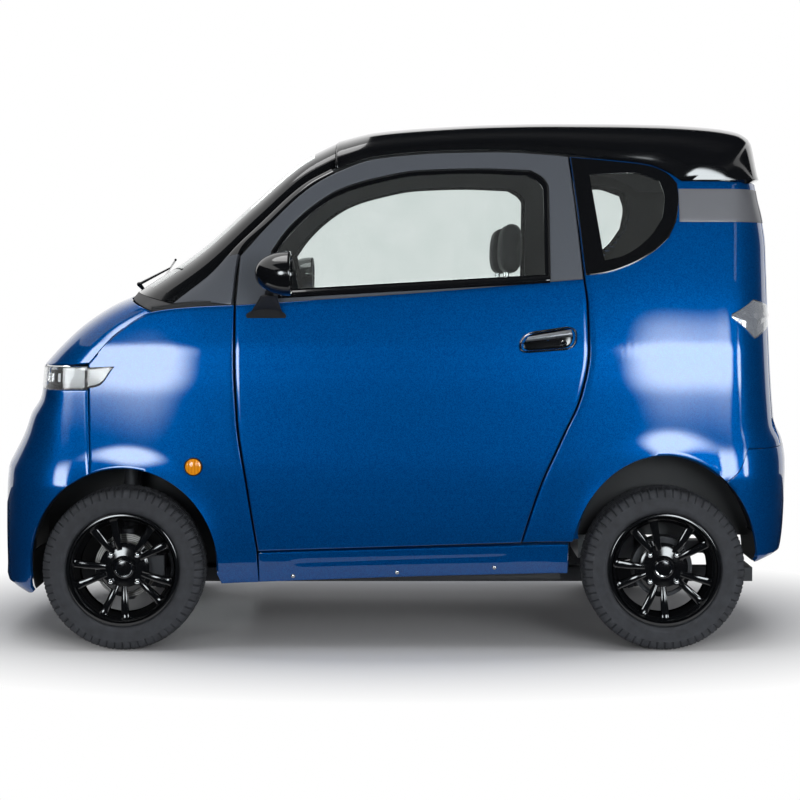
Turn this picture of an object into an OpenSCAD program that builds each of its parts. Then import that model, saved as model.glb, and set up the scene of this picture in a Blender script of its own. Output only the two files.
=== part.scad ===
// Enclosed four-wheel mobility scooter: front at -X, left side at -Y, standing on Z = 0.

/* [Wheels] */
// Distance between the two axles
wheelbase = 1692; // [1650:1:1740]
// Outer diameter of the tyre
tyre_d = 508; // [490:1:520]
// Section width of the tyre
tyre_w = 145; // [135:1:150]
// Diameter of the rim at its flange
rim_d = 352; // [340:1:370]
// Diameter of the brake disc
disc_d = 200; // [180:1:210]

/* [Body] */
// Overall width of the body
body_w = 1284; // [1260:1:1320]
// Front axle's place along X
front_axle_x = -850; // [-870:1:-830]
// Height of the sill's lower edge
sill_z = 208; // [195:1:220]
// Height of the door's lower edge at its front
door_z = 310; // [300:1:325]
// Height of the belt line, where door and window meet
belt_z = 1082; // [1060:1:1100]
// Height of the roof rail above the door
rail_z = 1566; // [1550:1:1580]
// Rise of the roof's crown above the rail
roof_rise = 116; // [95:1:150]
// Gap around doors, hood and tailgate
gap = 6; // [5.5:0.5:8]
// Half width of the wheel arch openings
arch_half = 298; // [290:1:305]
// Front arch height above the wheel centre
front_arch_h = 318; // [310:1:325]
// Rear arch height above the wheel centre
rear_arch_h = 358; // [345:1:365]

/* [Walls] */
// Thickness of bumpers and fenders
skin_t = 12; // [8:1:16]
// Thickness of a door at its lower panel
door_t = 46; // [40:1:52]
// Thickness of the rear quarters and tailgate
wall_t = 30; // [24:1:34]
// Thickness of the roof
roof_t = 24; // [20:1:30]
// Thickness of the glass
glass_t = 5; // [4:0.5:6]
// Clearance between a piece and its seat
seat_gap = 0.4; // [0.3:0.1:0.6]
// Seam between fixed body panels
seam_gap = 0.8; // [0.6:0.1:0.9]

/* [Hidden] */
$fn = 48;

roof_z = rail_z + roof_rise;
wheel_r = tyre_d / 2;
rear_axle_x = front_axle_x + wheelbase;
axle_z = wheel_r;
side_y = body_w / 2;
// How far the wheel's middle lies inside the widest line
wheel_inset = 92;
wheel_y = side_y - wheel_inset;

// Colours
BLUE = "#0a4a94";
BLACK = "#0b0c0e";
STEEL = "#2b2d30";
RUBBER = "#1c1d1f";
GLASS = [0.75, 0.8, 0.82, 0.35];

// Body section, columns: height, how far the side lies inside the widest line
TUCK = [[150, 72], [sill_z, 56], [door_z - 10, 28], [430, 10], [600, 0], [800, 0], [940, 8],
    [belt_z, 28], [up(0.33), 62], [up(0.67), 100], [rail_z, 143], [roof_z, 175]];
// Nose profile on the centre line, columns: height, reach ahead of the front axle
NOSE = [[150, 367], [198, 440], [243, 437], [386, 435], [561, 426], [580, 416], [671, 367],
    [730, 344], [791, 305], [900, 290]];
// Tail profile on the centre line, columns: height, reach behind the rear axle
TAIL = [[263, 361], [296, 432], [474, 445], [571, 448], [642, 438], [704, 409], [up(0.037), 390],
    [up(0.372), 390], [up(0.56), 380], [up(0.7), 364], [up(0.864), 352]];
// Where the sides begin to wrap round the nose and the tail
front_corner_x = front_axle_x - 172;
rear_corner_x = rear_axle_x + 176;
// Length of half the nose or tail when unrolled, and the power of its rounded plan
wrap_run = 700;
corner_power = 3;
nose_s = front_corner_x - wrap_run;
tail_s = rear_corner_x + wrap_run;
// Height and width of the flare round the wheel arches
flare_h = 10;
flare_w = 70;

function mix(a, b, t) = a + (b - a) * t;
// Heights as a share of the way from the belt to the rail, and from the rail to the crown
function up(k) = mix(belt_z, rail_z, k);
function crown(k) = mix(rail_z, roof_z, k);
function along(p, t) = let (s = t * (len(p) - 1), i = min(floor(s), len(p) - 2)) mix(p[i], p[i + 1], s - i);
function reversed(p) = [for (i = [len(p) - 1:-1:0]) p[i]];
function flip_y(p) = [p.x, -p.y, p.z];
function curve(c) = pow(max(c, 0), 2 / corner_power);

// Flare by the distance past the edge of an arch of the given height
function flare_at(x, z, axle_x, h) =
    let (r = norm([(x - axle_x) / arch_half, (z - axle_z) / (z > axle_z ? h : arch_half)]) - 1)
    flare_h * pow(max(0, 1 - max(r, 0) * arch_half / flare_w), 2);
function half_w(x, z) = side_y - flare_h - lookup(z, TUCK)
    - lookup(x, [[front_corner_x, 18], [front_axle_x + 250, 0], [rear_axle_x - 150, 0], [rear_corner_x, 12]])
    + max(flare_at(x, z, front_axle_x, front_arch_h), flare_at(x, z, rear_axle_x, rear_arch_h));

// Body skin of the left side: s is X on the flank, and runs on round the nose and the tail
function wrapped(x0, reach, q, z, d, way) =
    [x0 + way * (reach - d) * curve(sin(90 * min(q, 1))), -(half_w(x0, z) - d) * curve(cos(90 * min(q, 1))), z];
function nose_reach(z) = lookup(z, NOSE) + front_corner_x - front_axle_x;
function tail_reach(z) = lookup(z, TAIL) + rear_axle_x - rear_corner_x;
function skin(s, z, d = 0) =
    s < front_corner_x ? wrapped(front_corner_x, nose_reach(z), (front_corner_x - s) / wrap_run, z, d, -1)
    : s > rear_corner_x ? wrapped(rear_corner_x, tail_reach(z), (s - rear_corner_x) / wrap_run, z, d, 1)
    : [s, -(half_w(s, z) - d), z];
// The skin counted from the middle of the tail, left below zero and right above it
function tail_skin(p, z, d = 0) = let (q = skin(tail_s - abs(p), z, d)) p > 0 ? flip_y(q) : q;
// Unrolled place of a point of the nose or tail that is given by its X
function turn_of(k) = wrap_run / 90 * asin(pow(min(k, 1), corner_power / 2));
function nose_s_of(x, z, d = 0) = x >= front_corner_x ? x
    : front_corner_x - turn_of((front_corner_x - x) / (nose_reach(z) - d));
function tail_s_of(x, z, d = 0) = x <= rear_corner_x ? x
    : rear_corner_x + turn_of((x - rear_corner_x) / (tail_reach(z) - d));

// Wheel arch edge from angle a0 to a1, counted from the rear horizontal
function arch(axle_x, h, a0, a1, n, more = 0) = [for (i = [0:n]) let (a = mix(a0, a1, i / n))
    [axle_x + (arch_half + more) * cos(a), axle_z + ((sin(a) > 0 ? h : arch_half) + more) * sin(a)]];

// Grid of points between four edges, each a list of points, low and high along s, left and right along z
function patch(low, high, left, right, nu, nv) = [for (i = [0:nu]) let (u = i / nu)
    [for (j = [0:nv]) let (v = j / nv)
        mix(along(low, u), along(high, u), v) + mix(along(left, v), along(right, v), u)
        - mix(mix(low[0], low[len(low) - 1], u), mix(high[0], high[len(high) - 1], u), v)]];
// Grid of points round a window, from the window's edge to the outer edge
function ring(inner, outer, counts, nv) = [for (k = [0:len(counts) - 1], i = [0:counts[k] - 1])
    let (t = i / counts[k], a = along(inner[k], t), b = along(outer[k], t)) [for (j = [0:nv]) mix(a, b, j / nv)]];

function quad(a, b, c, d) = [[a, b, d], [a, d, c]];
// Solid between an outer and an inner grid of points; a loop joins its last column to its first
module between(outer, inner, loop = false) {
    n = len(outer);
    m = len(outer[0]);
    inside = n * m;
    cells = loop ? n : n - 1;
    function at(i, j) = (i % n) * m + j;
    faces = [
        for (i = [0:cells - 1], j = [0:m - 2]) each concat(
            quad(at(i, j), at(i, j + 1), at(i + 1, j), at(i + 1, j + 1)),
            quad(inside + at(i + 1, j), inside + at(i + 1, j + 1), inside + at(i, j), inside + at(i, j + 1))),
        for (i = [0:cells - 1]) each concat(
            quad(at(i + 1, 0), inside + at(i + 1, 0), at(i, 0), inside + at(i, 0)),
            quad(at(i, m - 1), inside + at(i, m - 1), at(i + 1, m - 1), inside + at(i + 1, m - 1))),
        if (!loop) for (j = [0:m - 2]) each concat(
            quad(at(0, j), inside + at(0, j), at(0, j + 1), inside + at(0, j + 1)),
            quad(at(n - 1, j + 1), inside + at(n - 1, j + 1), at(n - 1, j), inside + at(n - 1, j)))];
    polyhedron(concat([for (c = outer) each c], [for (c = inner) each c]), faces, convexity = 6);
}

// Panel of the left flank from depth d0 to d1 under the skin
function flank(grid, d) = [for (c = grid) [for (p = c) skin(p.x, p.y, d)]];
module flank_panel(grid, d0, d1, loop = false) between(flank(grid, d0), flank(grid, d1), loop);
// Panel that crosses the centre line at the nose or at the tail
function across_nose(g) = concat([for (i = [len(g) - 1:-1:1]) [for (p = g[i]) flip_y(p)]], g);
function across_tail(g) = concat(g, [for (i = [len(g) - 2:-1:0]) [for (p = g[i]) flip_y(p)]]);
// Grid across the vehicle: columns along X, each from its left edge over the middle to its right edge
function bridge(edge, mid, n, power) = [for (i = [0:len(edge) - 1]) [for (j = [0:n]) let (
        a = 180 * j / n, c = cos(a), k = pow(max(sin(a), 0), 2 / power))
    [mix(edge[i].x, mid[i].x, k), sign(c) * pow(abs(c), 2 / power) * edge[i].y, mix(edge[i].z, mid[i].y, k)]]];
function shifted(list, v) = [for (p = list) p + v];
module both_sides() {
    children();
    mirror([0, 1, 0]) children();
}

// Edges of the left door opening in unrolled X and Z
door_tail = door_z + 28;
DOOR_FRONT = [[front_axle_x + 423, door_z], [front_axle_x + 392, 510], [front_axle_x + 361, 725],
    [front_axle_x + 352, 927], [front_axle_x + 352, belt_z], [front_axle_x + 364, up(0.312)]];
DOOR_TOP = [[front_axle_x + 364, up(0.312)], [front_axle_x + 461, up(0.537)],
    [front_axle_x + 592, up(0.781)], [front_axle_x + 679, up(0.878)], [front_axle_x + 788, up(0.955)],
    [front_axle_x + 1006, up(0.994)], [front_axle_x + 1171, rail_z], [rear_axle_x - 346, up(0.981)],
    [rear_axle_x - 290, up(0.969)]];
DOOR_REAR = [[rear_axle_x - 290, up(0.969)], [rear_axle_x - 272, up(0.636)], [rear_axle_x - 257, up(0.285)],
    [rear_axle_x - 242, belt_z], [rear_axle_x - 240, 940], [rear_axle_x - 265, 800], [rear_axle_x - 327, 659],
    [rear_axle_x - 390, 519], [rear_axle_x - 427, 410], [rear_axle_x - 449, door_tail]];
DOOR_LOW = [[rear_axle_x - 449, door_tail], [front_axle_x + 423, door_z]];
// Edges of the window opening in the left door, in the same order
WIN_FRONT = [[front_axle_x + 484, up(0.062)], [front_axle_x + 461, up(0.343)]];
WIN_TOP = [[front_axle_x + 461, up(0.343)], [front_axle_x + 504, up(0.473)],
    [front_axle_x + 592, up(0.647)], [front_axle_x + 679, up(0.756)], [front_axle_x + 788, up(0.826)],
    [front_axle_x + 928, up(0.878)], [front_axle_x + 1017, up(0.886)], [front_axle_x + 1106, up(0.89)],
    [rear_axle_x - 411, up(0.878)]];
WIN_REAR = [[rear_axle_x - 411, up(0.878)], [rear_axle_x - 371, up(0.826)], [rear_axle_x - 355, up(0.762)],
    [rear_axle_x - 355, up(0.163)]];
WIN_LOW = [[rear_axle_x - 355, up(0.163)], [front_axle_x + 484, up(0.062)]];

// Hinge axis of the left door, at its outermost line
door_hinge = [front_axle_x + 378, -side_y];
hinge_zs = [700, belt_z - 122];
barrel_d = 10;
barrel_h = 36;
hinge_pin_d = 5;
lug_h = 10;
leaf_run = 56;
leaf_t = 3;
// Fixed barrel of a hinge, standing on its axis
module hinge_barrel() difference() {
    union() {
        children();
        cylinder(barrel_h, d = barrel_d, center = true);
    }
    cylinder(barrel_h + 2, d = hinge_pin_d + 2 * pin_gap, center = true);
}
// Moving pin of a hinge with a lug at each end
module hinge_pin() {
    cylinder(barrel_h + 2 * pin_gap + 2 * lug_h, d = hinge_pin_d, center = true);
    for (side = [-1, 1]) translate([0, 0, side * (barrel_h / 2 + pin_gap + lug_h / 2)]) {
        cylinder(lug_h, d = barrel_d, center = true);
        children();
    }
}

module door_left() color(BLUE) {
    grid = ring([WIN_FRONT, WIN_TOP, WIN_REAR, WIN_LOW], [DOOR_FRONT, DOOR_TOP, DOOR_REAR, DOOR_LOW],
        [5, 8, 9, 6], 6);
    between(flank(grid, 0), [for (c = grid) [for (p = c)
        skin(p.x, p.y, lookup(p.y, [[belt_z - 40, door_t], [rail_z - 100, door_t * 0.6]]))]], true);
    for (z = hinge_zs) translate([door_hinge.x, door_hinge.y, z]) hinge_pin()
        translate([-barrel_d / 2, 0, -lug_h / 2]) cube([barrel_d, 30, lug_h]);
}
module door_right() color(BLUE) mirror([0, 1, 0]) door_left();

// Outline pulled towards a centre point by a clearance
function pulled(p, c, by) = [for (q = p) q + (c - q) * by / norm(c - q)];
module door_glass_left() color(GLASS) {
    c = [(WIN_FRONT[0].x + WIN_REAR[3].x) / 2, (belt_z + rail_z) / 2];
    grid = patch(pulled(reversed(WIN_LOW), c, seat_gap * 2), pulled(WIN_TOP, c, seat_gap * 2),
        pulled(WIN_FRONT, c, seat_gap * 2), pulled(reversed(WIN_REAR), c, seat_gap * 2), 8, 3);
    flank_panel(grid, 6, 6 + glass_t);
}
module door_glass_right() color(GLASS) mirror([0, 1, 0]) door_glass_left();

// Front fender from the bumper seam to the door
seam_x = front_axle_x - 107;
lamp_low_z = 815;
lamp_high_z = 887;
HOOD_SEAM = [[seam_x, lamp_high_z + 8], [front_axle_x - 20, belt_z - 92], [front_axle_x + 87, belt_z - 24],
    [front_axle_x + 220, belt_z - 8], [front_axle_x + 352 - gap, belt_z - 2]];
arch_seam_a = 110;
module fender_left() color(BLUE) {
    foot_x = front_axle_x + arch_half + 8;
    low = concat(arch(front_axle_x, front_arch_h, arch_seam_a, -5, 10),
        [[foot_x, sill_z - 4], [front_axle_x + 428 - gap, sill_z]]);
    right = concat([[front_axle_x + 428 - gap, sill_z]],
        [for (i = [0:4]) DOOR_FRONT[i] - [gap, i == 4 ? 2 : 0]]);
    left = [low[0], [seam_x, lamp_low_z], HOOD_SEAM[0]];
    flank_panel(patch(low, HOOD_SEAM, left, right, 12, 10), 0, skin_t);
    for (z = hinge_zs) translate([door_hinge.x, door_hinge.y, z]) hinge_barrel() {
        translate([-leaf_run, -barrel_d / 2, -barrel_h / 2]) cube([leaf_run, leaf_t, barrel_h]);
        translate([-leaf_run, -barrel_d / 2, -barrel_h / 2]) cube([20, 34, barrel_h]);
    }
}
module fender_right() color(BLUE) mirror([0, 1, 0]) fender_left();

// Front bumper round the nose, with a shoulder left for each headlamp
module front_bumper() color(BLUE) {
    edge_a = 186;
    low_arch = [for (p = arch(front_axle_x, front_arch_h, edge_a, arch_seam_a, 7)) [nose_s_of(p.x, p.y), p.y]];
    low = concat([[nose_s, 156], mix([nose_s, 156], [low_arch[0].x, 156], 0.5), [low_arch[0].x - 30, 170]],
        shifted(low_arch, [-seat_gap, 0]));
    lip_s = front_corner_x - wrap_run * 0.62;
    high = [[nose_s, lamp_high_z], [lip_s - 40, lamp_high_z], [lip_s, lamp_low_z + 6],
        [mix(lip_s, seam_x, 0.5), lamp_low_z], [seam_x - seat_gap, lamp_low_z]];
    left = [low[0], [nose_s, 580], high[0]];
    right = [low[len(low) - 1], high[4]];
    grid = patch(low, high, left, right, 20, 8);
    between(across_nose(flank(grid, 0)), across_nose(flank(grid, skin_t)));
}

// Headlamp: a lens that wraps the corner, with a tail laid on the fender
module headlamps() color("silver") both_sides() {
    low_s = front_corner_x - wrap_run * 0.60;
    a = seat_gap;
    low = [[low_s, lamp_low_z + 6 + a], [mix(low_s, seam_x, 0.5), lamp_low_z + a], [seam_x - 4, lamp_low_z + a]];
    high = [[low_s - 30, lamp_high_z], [seam_x - 4, lamp_high_z]];
    flank_panel(patch(low, high, [low[0], high[0]], [low[2], high[1]], 10, 2), -2, 24);
    tail_low = [[seam_x - 3, lamp_low_z + 6], [seam_x + 32, lamp_low_z + 14], [seam_x + 74, lamp_high_z - 6]];
    tail_high = [[seam_x - 3, lamp_high_z - 6], [seam_x + 80, lamp_high_z]];
    flank_panel(patch(tail_low, tail_high, [tail_low[0], tail_high[0]], [tail_low[2], tail_high[1]], 4, 2),
        -4, -seat_gap);
}

// Hood between the fender seams, rear edge at the cowl
HOOD_MID = [[front_axle_x - 302, lamp_high_z + seam_gap], [front_axle_x - 250, belt_z - 137],
    [front_axle_x - 165, belt_z - 60], [front_axle_x - 60, belt_z + 6], [front_axle_x - 12, belt_z + 26]];
HOOD_EDGE = [for (k = [0, 0.25, 0.5, 0.75, 0.97]) let (p = along([for (i = [0:2]) HOOD_SEAM[i]], k))
    [p.x, skin(p.x, p.y).y + 1, p.y + seam_gap]];
module hood() color(BLUE) {
    inset_edge = [for (p = HOOD_EDGE) p + [0, skin_t, 0]];
    between(bridge(HOOD_EDGE, HOOD_MID, 20, corner_power), bridge(inset_edge,
        [for (i = [0:len(HOOD_MID) - 1]) HOOD_MID[i] + (i == 0 ? [skin_t, 0] : [0, -skin_t])], 20, corner_power));
}

// Windscreen edge lines at the left side, and on the centre line
SCREEN_EDGE = [[front_axle_x + 150, belt_z + 2], [front_axle_x + 300, up(0.254)],
    [front_axle_x + 440, up(0.543)], [front_axle_x + 570, up(0.785)], [front_axle_x + 656, up(0.884)]];
SCREEN_MID = [[front_axle_x + 0, up(0.087)], [front_axle_x + 190, up(0.347)],
    [front_axle_x + 385, up(0.698)], [front_axle_x + 560, crown(0.017)],
    [front_axle_x + 660, crown(0.466)]];
function on_side(p, d) = [for (q = p) [q.x, -(half_w(q.x, q.y) - d), q.y]];
pillar_w = 44;
module windscreen() color(GLASS) {
    edge = on_side(SCREEN_EDGE, pillar_w + seat_gap);
    last = len(edge) - 1;
    between(bridge(edge, SCREEN_MID, 20, corner_power),
        bridge([for (i = [0:last]) edge[i] + [i < last ? glass_t : 0, 0, -glass_t]],
            [for (i = [0:last]) SCREEN_MID[i] + [i < last ? glass_t : 0, -glass_t]], 20, corner_power));
}
// Pillars between the windscreen and the door frames, with the sail panel at their foot
PILLAR_EDGE = [[front_axle_x + 338, belt_z - 1.8], [front_axle_x + 356, up(0.324)],
    [front_axle_x + 455, up(0.55)], [front_axle_x + 588, up(0.795)], [front_axle_x + 656, up(0.872)]];
module pillars() color(BLACK) both_sides() {
    outer = on_side(PILLAR_EDGE, 1);
    inner = on_side(SCREEN_EDGE, pillar_w);
    lift = [for (i = [0:len(outer) - 1]) [outer[i], mix(outer[i], inner[i], 0.5) + [-8, 0, 6], inner[i]]];
    between(lift, [for (c = lift) [c[0] + [0, 16, 0], c[1] + [6, 12, -10], c[2] + [12, 0, -18]]]);
}

// Roof from the windscreen header to the tailgate
ROOF_EDGE = [[front_axle_x + 660.6, up(0.888)], [front_axle_x + 788, up(0.971)],
    [front_axle_x + 1006, crown(0.043)], [front_axle_x + 1171, crown(0.069)],
    [rear_axle_x - 290, up(0.986)], [rear_axle_x - 137, up(0.946)], [rear_axle_x - 31, up(0.917)],
    [rear_axle_x + 30, up(0.864)], [rear_axle_x + 70, up(0.81)], [rear_axle_x + 190, up(0.814)],
    [rear_axle_x + 250, up(0.814)]];
ROOF_MID = [[front_axle_x + 660.6, crown(0.483)], [front_axle_x + 790, crown(0.741)],
    [front_axle_x + 1006, crown(0.897)], [front_axle_x + 1171, crown(0.966)],
    [rear_axle_x - 290, roof_z], [rear_axle_x - 137, roof_z], [rear_axle_x + 30, crown(0.983)],
    [rear_axle_x + 160, crown(0.931)], [rear_axle_x + 300, crown(0.776)],
    [rear_axle_x + 346, crown(0.466)], [rear_axle_x + 360, up(0.826)]];
module roof() color(BLACK) {
    edge = on_side(ROOF_EDGE, 0);
    inner_edge = [for (i = [0:10]) edge[i] + [i > 8 ? -4 : 0, roof_t, 0]];
    inner_mid = [for (i = [0:10]) ROOF_MID[i] + (i > 8 ? [-roof_t, 0] : [0, -roof_t])];
    between(bridge(edge, ROOF_MID, 20, corner_power), bridge(inner_edge, inner_mid, 20, corner_power));
    at_gate_hinges() hinge_barrel() translate([-14, 0, -barrel_h / 2]) cube([18, 26, barrel_h]);
}

// Cowl between the hood's rear edge and the windscreen
module cowl() color(BLACK) {
    last = len(HOOD_EDGE) - 1;
    cowl_gap = 3;
    cowl_t = 8;
    // The lower face draws back from the hood and from the glass
    edge = [HOOD_EDGE[last] + [cowl_gap, skin_t + 2, 0],
        on_side([SCREEN_EDGE[0]], pillar_w)[0] - [2 * seam_gap, 0, seat_gap]];
    mid = [HOOD_MID[last] + [cowl_gap, 0], SCREEN_MID[0] - [2 * seam_gap, seat_gap]];
    between(bridge(edge, mid, 20, corner_power),
        bridge([edge[0] + [1, 6, -cowl_t], edge[1] + [-4, 0, -cowl_t]],
            [mid[0] + [1, -cowl_t], mid[1] + [-2, -cowl_t]], 20, corner_power));
}
// Rod with round ends between two points
module rod(a, ra, b, rb) hull() {
    translate(a) sphere(ra, $fn = 16);
    translate(b) sphere(rb, $fn = 16);
}
// Wiper arm and blade laid along the windscreen, turning on a spindle in the cowl
boss_r = 8;
blade_r = 4;
module wiper() color(BLACK) {
    screen = bridge(on_side(SCREEN_EDGE, pillar_w), SCREEN_MID, 20, corner_power);
    lift = [-16, 0, 20];
    spindle = [-3.6, 0, 5.4];
    foot = screen[0][9] + lift;
    tip = mix(screen[0][5], screen[1][5], 0.7) + lift;
    far = mix(screen[0][11], screen[1][11], 0.25) + lift;
    rod(foot - lift + spindle, 6, foot, boss_r);
    rod(foot, boss_r - 3, mix(tip, far, 0.5), blade_r - 1);
    rod(tip, blade_r, far, blade_r);
}

// Rear quarter round its window, from the door to the tailgate seam
tail_seam_s = rear_corner_x + wrap_run * 0.5;
bumper_top_z = 630;
Q_WIN = [[rear_axle_x - 182, up(0.302)], [rear_axle_x - 224, up(0.845)], [rear_axle_x - 90, up(0.86)],
    [rear_axle_x - 3, up(0.808)], [rear_axle_x + 12, up(0.698)], [rear_axle_x + 3, up(0.562)],
    [rear_axle_x - 41, up(0.434)], [rear_axle_x - 135, up(0.322)]];
bumper_a = 50;
function tail_points(p) = [for (q = p) [tail_s_of(q.x, q.y), q.y]];
// Seam between bumper and quarter, from the wheel arch to the tailgate
BUMPER_SEAM = let (a = tail_points(arch(rear_axle_x, rear_arch_h, bumper_a, bumper_a, 1))[0])
    [a, a + [40, 40], [a.x + 80, bumper_top_z], for (k = [1:4]) [mix(a.x + 80, tail_seam_s, k / 4), bumper_top_z]];
module quarter_left() color(BLUE) {
    front = [for (p = reversed(DOOR_REAR)) p + [gap, 0]];
    corner = [rear_axle_x + 70, up(0.804)];
    top = concat([front[len(front) - 1]], [for (i = [5:8]) ROOF_EDGE[i] - [0, seam_gap]],
        [for (k = [1:11]) mix(corner, [tail_seam_s, corner.y], k / 11)]);
    rear = [[tail_seam_s, bumper_top_z + 2 * seam_gap], top[len(top) - 1]];
    low = concat([front[0]], tail_points(arch(rear_axle_x, rear_arch_h, 166, bumper_a + 11, 7)),
        shifted(BUMPER_SEAM, [0, 2 * seam_gap]));
    difference() {
        flank_panel(patch(low, top, front, rear, 15, 9), 0, wall_t);
        rotate([90, 0, 0]) linear_extrude(side_y) polygon(Q_WIN);
    }
}
module quarter_right() color(BLUE) mirror([0, 1, 0]) quarter_left();
// Bonded glass panel over the quarter window
module quarter_glass() color(GLASS) both_sides() {
    left = [[rear_axle_x - 240, up(0.19)], [rear_axle_x - 262, up(0.636)], [rear_axle_x - 279, up(0.946)]];
    high = [left[2], [rear_axle_x - 137, up(0.926)], [rear_axle_x - 31, up(0.897)], [rear_axle_x + 25, up(0.847)],
        [rear_axle_x + 52, up(0.785)]];
    right = [[rear_axle_x + 22, up(0.434)], [rear_axle_x + 50, up(0.568)], [rear_axle_x + 56, up(0.698)], high[4]];
    low = [left[0], [rear_axle_x - 184, up(0.207)], [rear_axle_x - 112, up(0.248)], [rear_axle_x - 31, up(0.337)],
        right[0]];
    flank_panel(patch(low, high, left, right, 10, 5), -seat_gap - glass_t, -seat_gap);
}
// Sill under the door, from the fender's foot to the rear arch
sill_t = 30;
sill_d = 4;
module sills() color(BLUE) both_sides() {
    x0 = front_axle_x + 428 - gap + seam_gap;
    x1 = rear_axle_x - arch_half - 4;
    low = [[x0, sill_z], [0, sill_z + 16], [x1, sill_z + 30]];
    high = [[x0, door_z - gap], [x1, door_tail - gap]];
    flank_panel(patch(low, high, [low[0], high[0]], [low[2], high[1]], 6, 3), sill_d, sill_d + sill_t);
}
// Rear bumper round the tail below the tailgate
module rear_bumper() color(BLUE) {
    left = tail_points(arch(rear_axle_x, rear_arch_h, 6, bumper_a, 6));
    low = [left[0], [left[0].x + 60, 268], [mix(left[0].x, tail_s, 0.5), 268], [tail_s, 268]];
    high = concat(BUMPER_SEAM, [for (k = [1:4]) [mix(tail_seam_s, tail_s, k / 4), bumper_top_z]]);
    grid = patch(low, high, left, [low[3], [tail_s, 571], high[len(high) - 1]], 10, 8);
    between(across_tail(flank(grid, 0)), across_tail(flank(grid, skin_t)));
}
// Tailgate between the quarters, with its window
gate_half = tail_s - tail_seam_s - 2.5 * gap;
gate_low_z = bumper_top_z + gap;
gate_top_z = up(0.8);
// Window of the tailgate: half width, lower and upper edge
GATE_WIN = [295, up(0.186), up(0.69)];
gate_hinge = [rear_axle_x + 362, gate_top_z + 3];
gate_hinge_y = 200;
module at_gate_hinges() for (side = [-1, 1]) translate([gate_hinge.x, side * gate_hinge_y, gate_hinge.y])
    rotate([90, 0, 0]) children();
module tailgate() color(BLUE) {
    w = GATE_WIN[0];
    a = [[-w, GATE_WIN[1]], [-w, GATE_WIN[2]]];
    b = [[-w, GATE_WIN[2]], [w, GATE_WIN[2]]];
    h = gate_half;
    outer = [[[-h, gate_low_z], [-h, gate_top_z]], [[-h, gate_top_z], [h, gate_top_z]],
        [[h, gate_top_z], [h, gate_low_z]], [[h, gate_low_z], [-h, gate_low_z]]];
    inner = [a, b, [[w, GATE_WIN[2]], [w, GATE_WIN[1]]], [[w, GATE_WIN[1]], [-w, GATE_WIN[1]]]];
    grid = ring(inner, outer, [6, 10, 6, 10], 5);
    between([for (c = grid) [for (p = c) tail_skin(p.x, p.y)]],
        [for (c = grid) [for (p = c) tail_skin(p.x, p.y, wall_t)]], true);
    at_gate_hinges() hinge_pin() translate([-24, -14, -lug_h / 2]) cube([24, 17, lug_h]);
}
module tailgate_glass() color(GLASS) {
    w = GATE_WIN[0] - seat_gap;
    low = GATE_WIN[1] + seat_gap;
    high = GATE_WIN[2] - seat_gap;
    grid = patch([[-w, low], [w, low]], [[-w, high], [w, high]],
        [[-w, low], [-w, high]], [[w, low], [w, high]], 10, 6);
    between([for (c = grid) [for (p = c) tail_skin(p.x, p.y, 5)]],
        [for (c = grid) [for (p = c) tail_skin(p.x, p.y, 5 + glass_t)]]);
}
// Diamond tail lamp on each rear corner
module tail_lamps() color("lightgrey") both_sides() {
    z = belt_z - 36;
    tip_s = tail_s_of(rear_axle_x + 212, z);
    end_s = tail_seam_s - 12;
    mid_s = mix(tip_s, end_s, 0.45);
    low = [[tip_s, z - 6], [mid_s, z - 72], [end_s, z - 34]];
    high = [[tip_s, z + 6], [mid_s, z + 51], [end_s, z + 32]];
    flank_panel(patch(low, high, [low[0], high[0]], [low[2], high[2]], 8, 2), -12, -3 * seat_gap);
}
// Round side repeater on each fender
repeater_d = 58;
module repeaters() color("orange") both_sides() {
    x = front_axle_x + 223;
    z = 577;
    translate([x, -half_w(x + repeater_d / 2, z) - seat_gap, z]) rotate([90, 0, 0]) cylinder(10, d = repeater_d);
}

// Door mirror: foot on the door skin, stalk and head
module mirror_left() color(BLACK) {
    foot = [front_axle_x + 448, -half_w(front_axle_x + 448, belt_z - 62) - seat_gap, belt_z - 26];
    head = [front_axle_x + 461, -half_w(front_axle_x + 461, belt_z) - 108, belt_z + 98];
    hull() {
        translate(foot) rotate([90, 0, 0]) scale([1.5, 1, 1]) cylinder(10, d = 68, $fn = 24);
        translate([head.x, foot.y - 62, belt_z + 30]) rotate([90, 0, 0]) cylinder(16, d = 50, $fn = 24);
    }
    hull() {
        translate([head.x, foot.y - 62, belt_z + 30]) rotate([90, 0, 0]) cylinder(16, d = 50, $fn = 24);
        translate(head + [-6, 0, 0]) scale([0.66, 1.35, 1]) sphere(56, $fn = 20);
        translate(head + [40, 0, 0]) scale([0.1, 1.35, 1]) sphere(60, $fn = 20);
    }
}
module mirror_right() color(BLACK) mirror([0, 1, 0]) mirror_left();
// Pull handle near the door's rear edge
module handle_left() color(BLACK) {
    x0 = rear_axle_x - 464;
    x1 = rear_axle_x - 271;
    low = [[x0, belt_z - 146], [x1, belt_z - 138]];
    high = [[x0 + 10, belt_z - 92], [x1, belt_z - 70]];
    flank_panel(patch(low, high, [low[0], high[0]], [low[1], high[1]], 6, 3), -14, -seat_gap);
}
module handle_right() color(BLACK) mirror([0, 1, 0]) handle_left();

// Chassis frame of two rails with crossbars
rail_y = wheel_y - 250;
rail_w = 60;
rail_h = 45;
rail_low_z = 170;
floor_z = rail_low_z + rail_h;
floor_t = 20;
rail_front_x = front_axle_x - 290;
rail_rear_x = rear_axle_x + 330;
module rail_left() color(STEEL) translate([rail_front_x, -rail_y - rail_w / 2, rail_low_z])
    cube([rail_rear_x - rail_front_x, rail_w, rail_h]);
module rail_right() color(STEEL) mirror([0, 1, 0]) rail_left();
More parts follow.
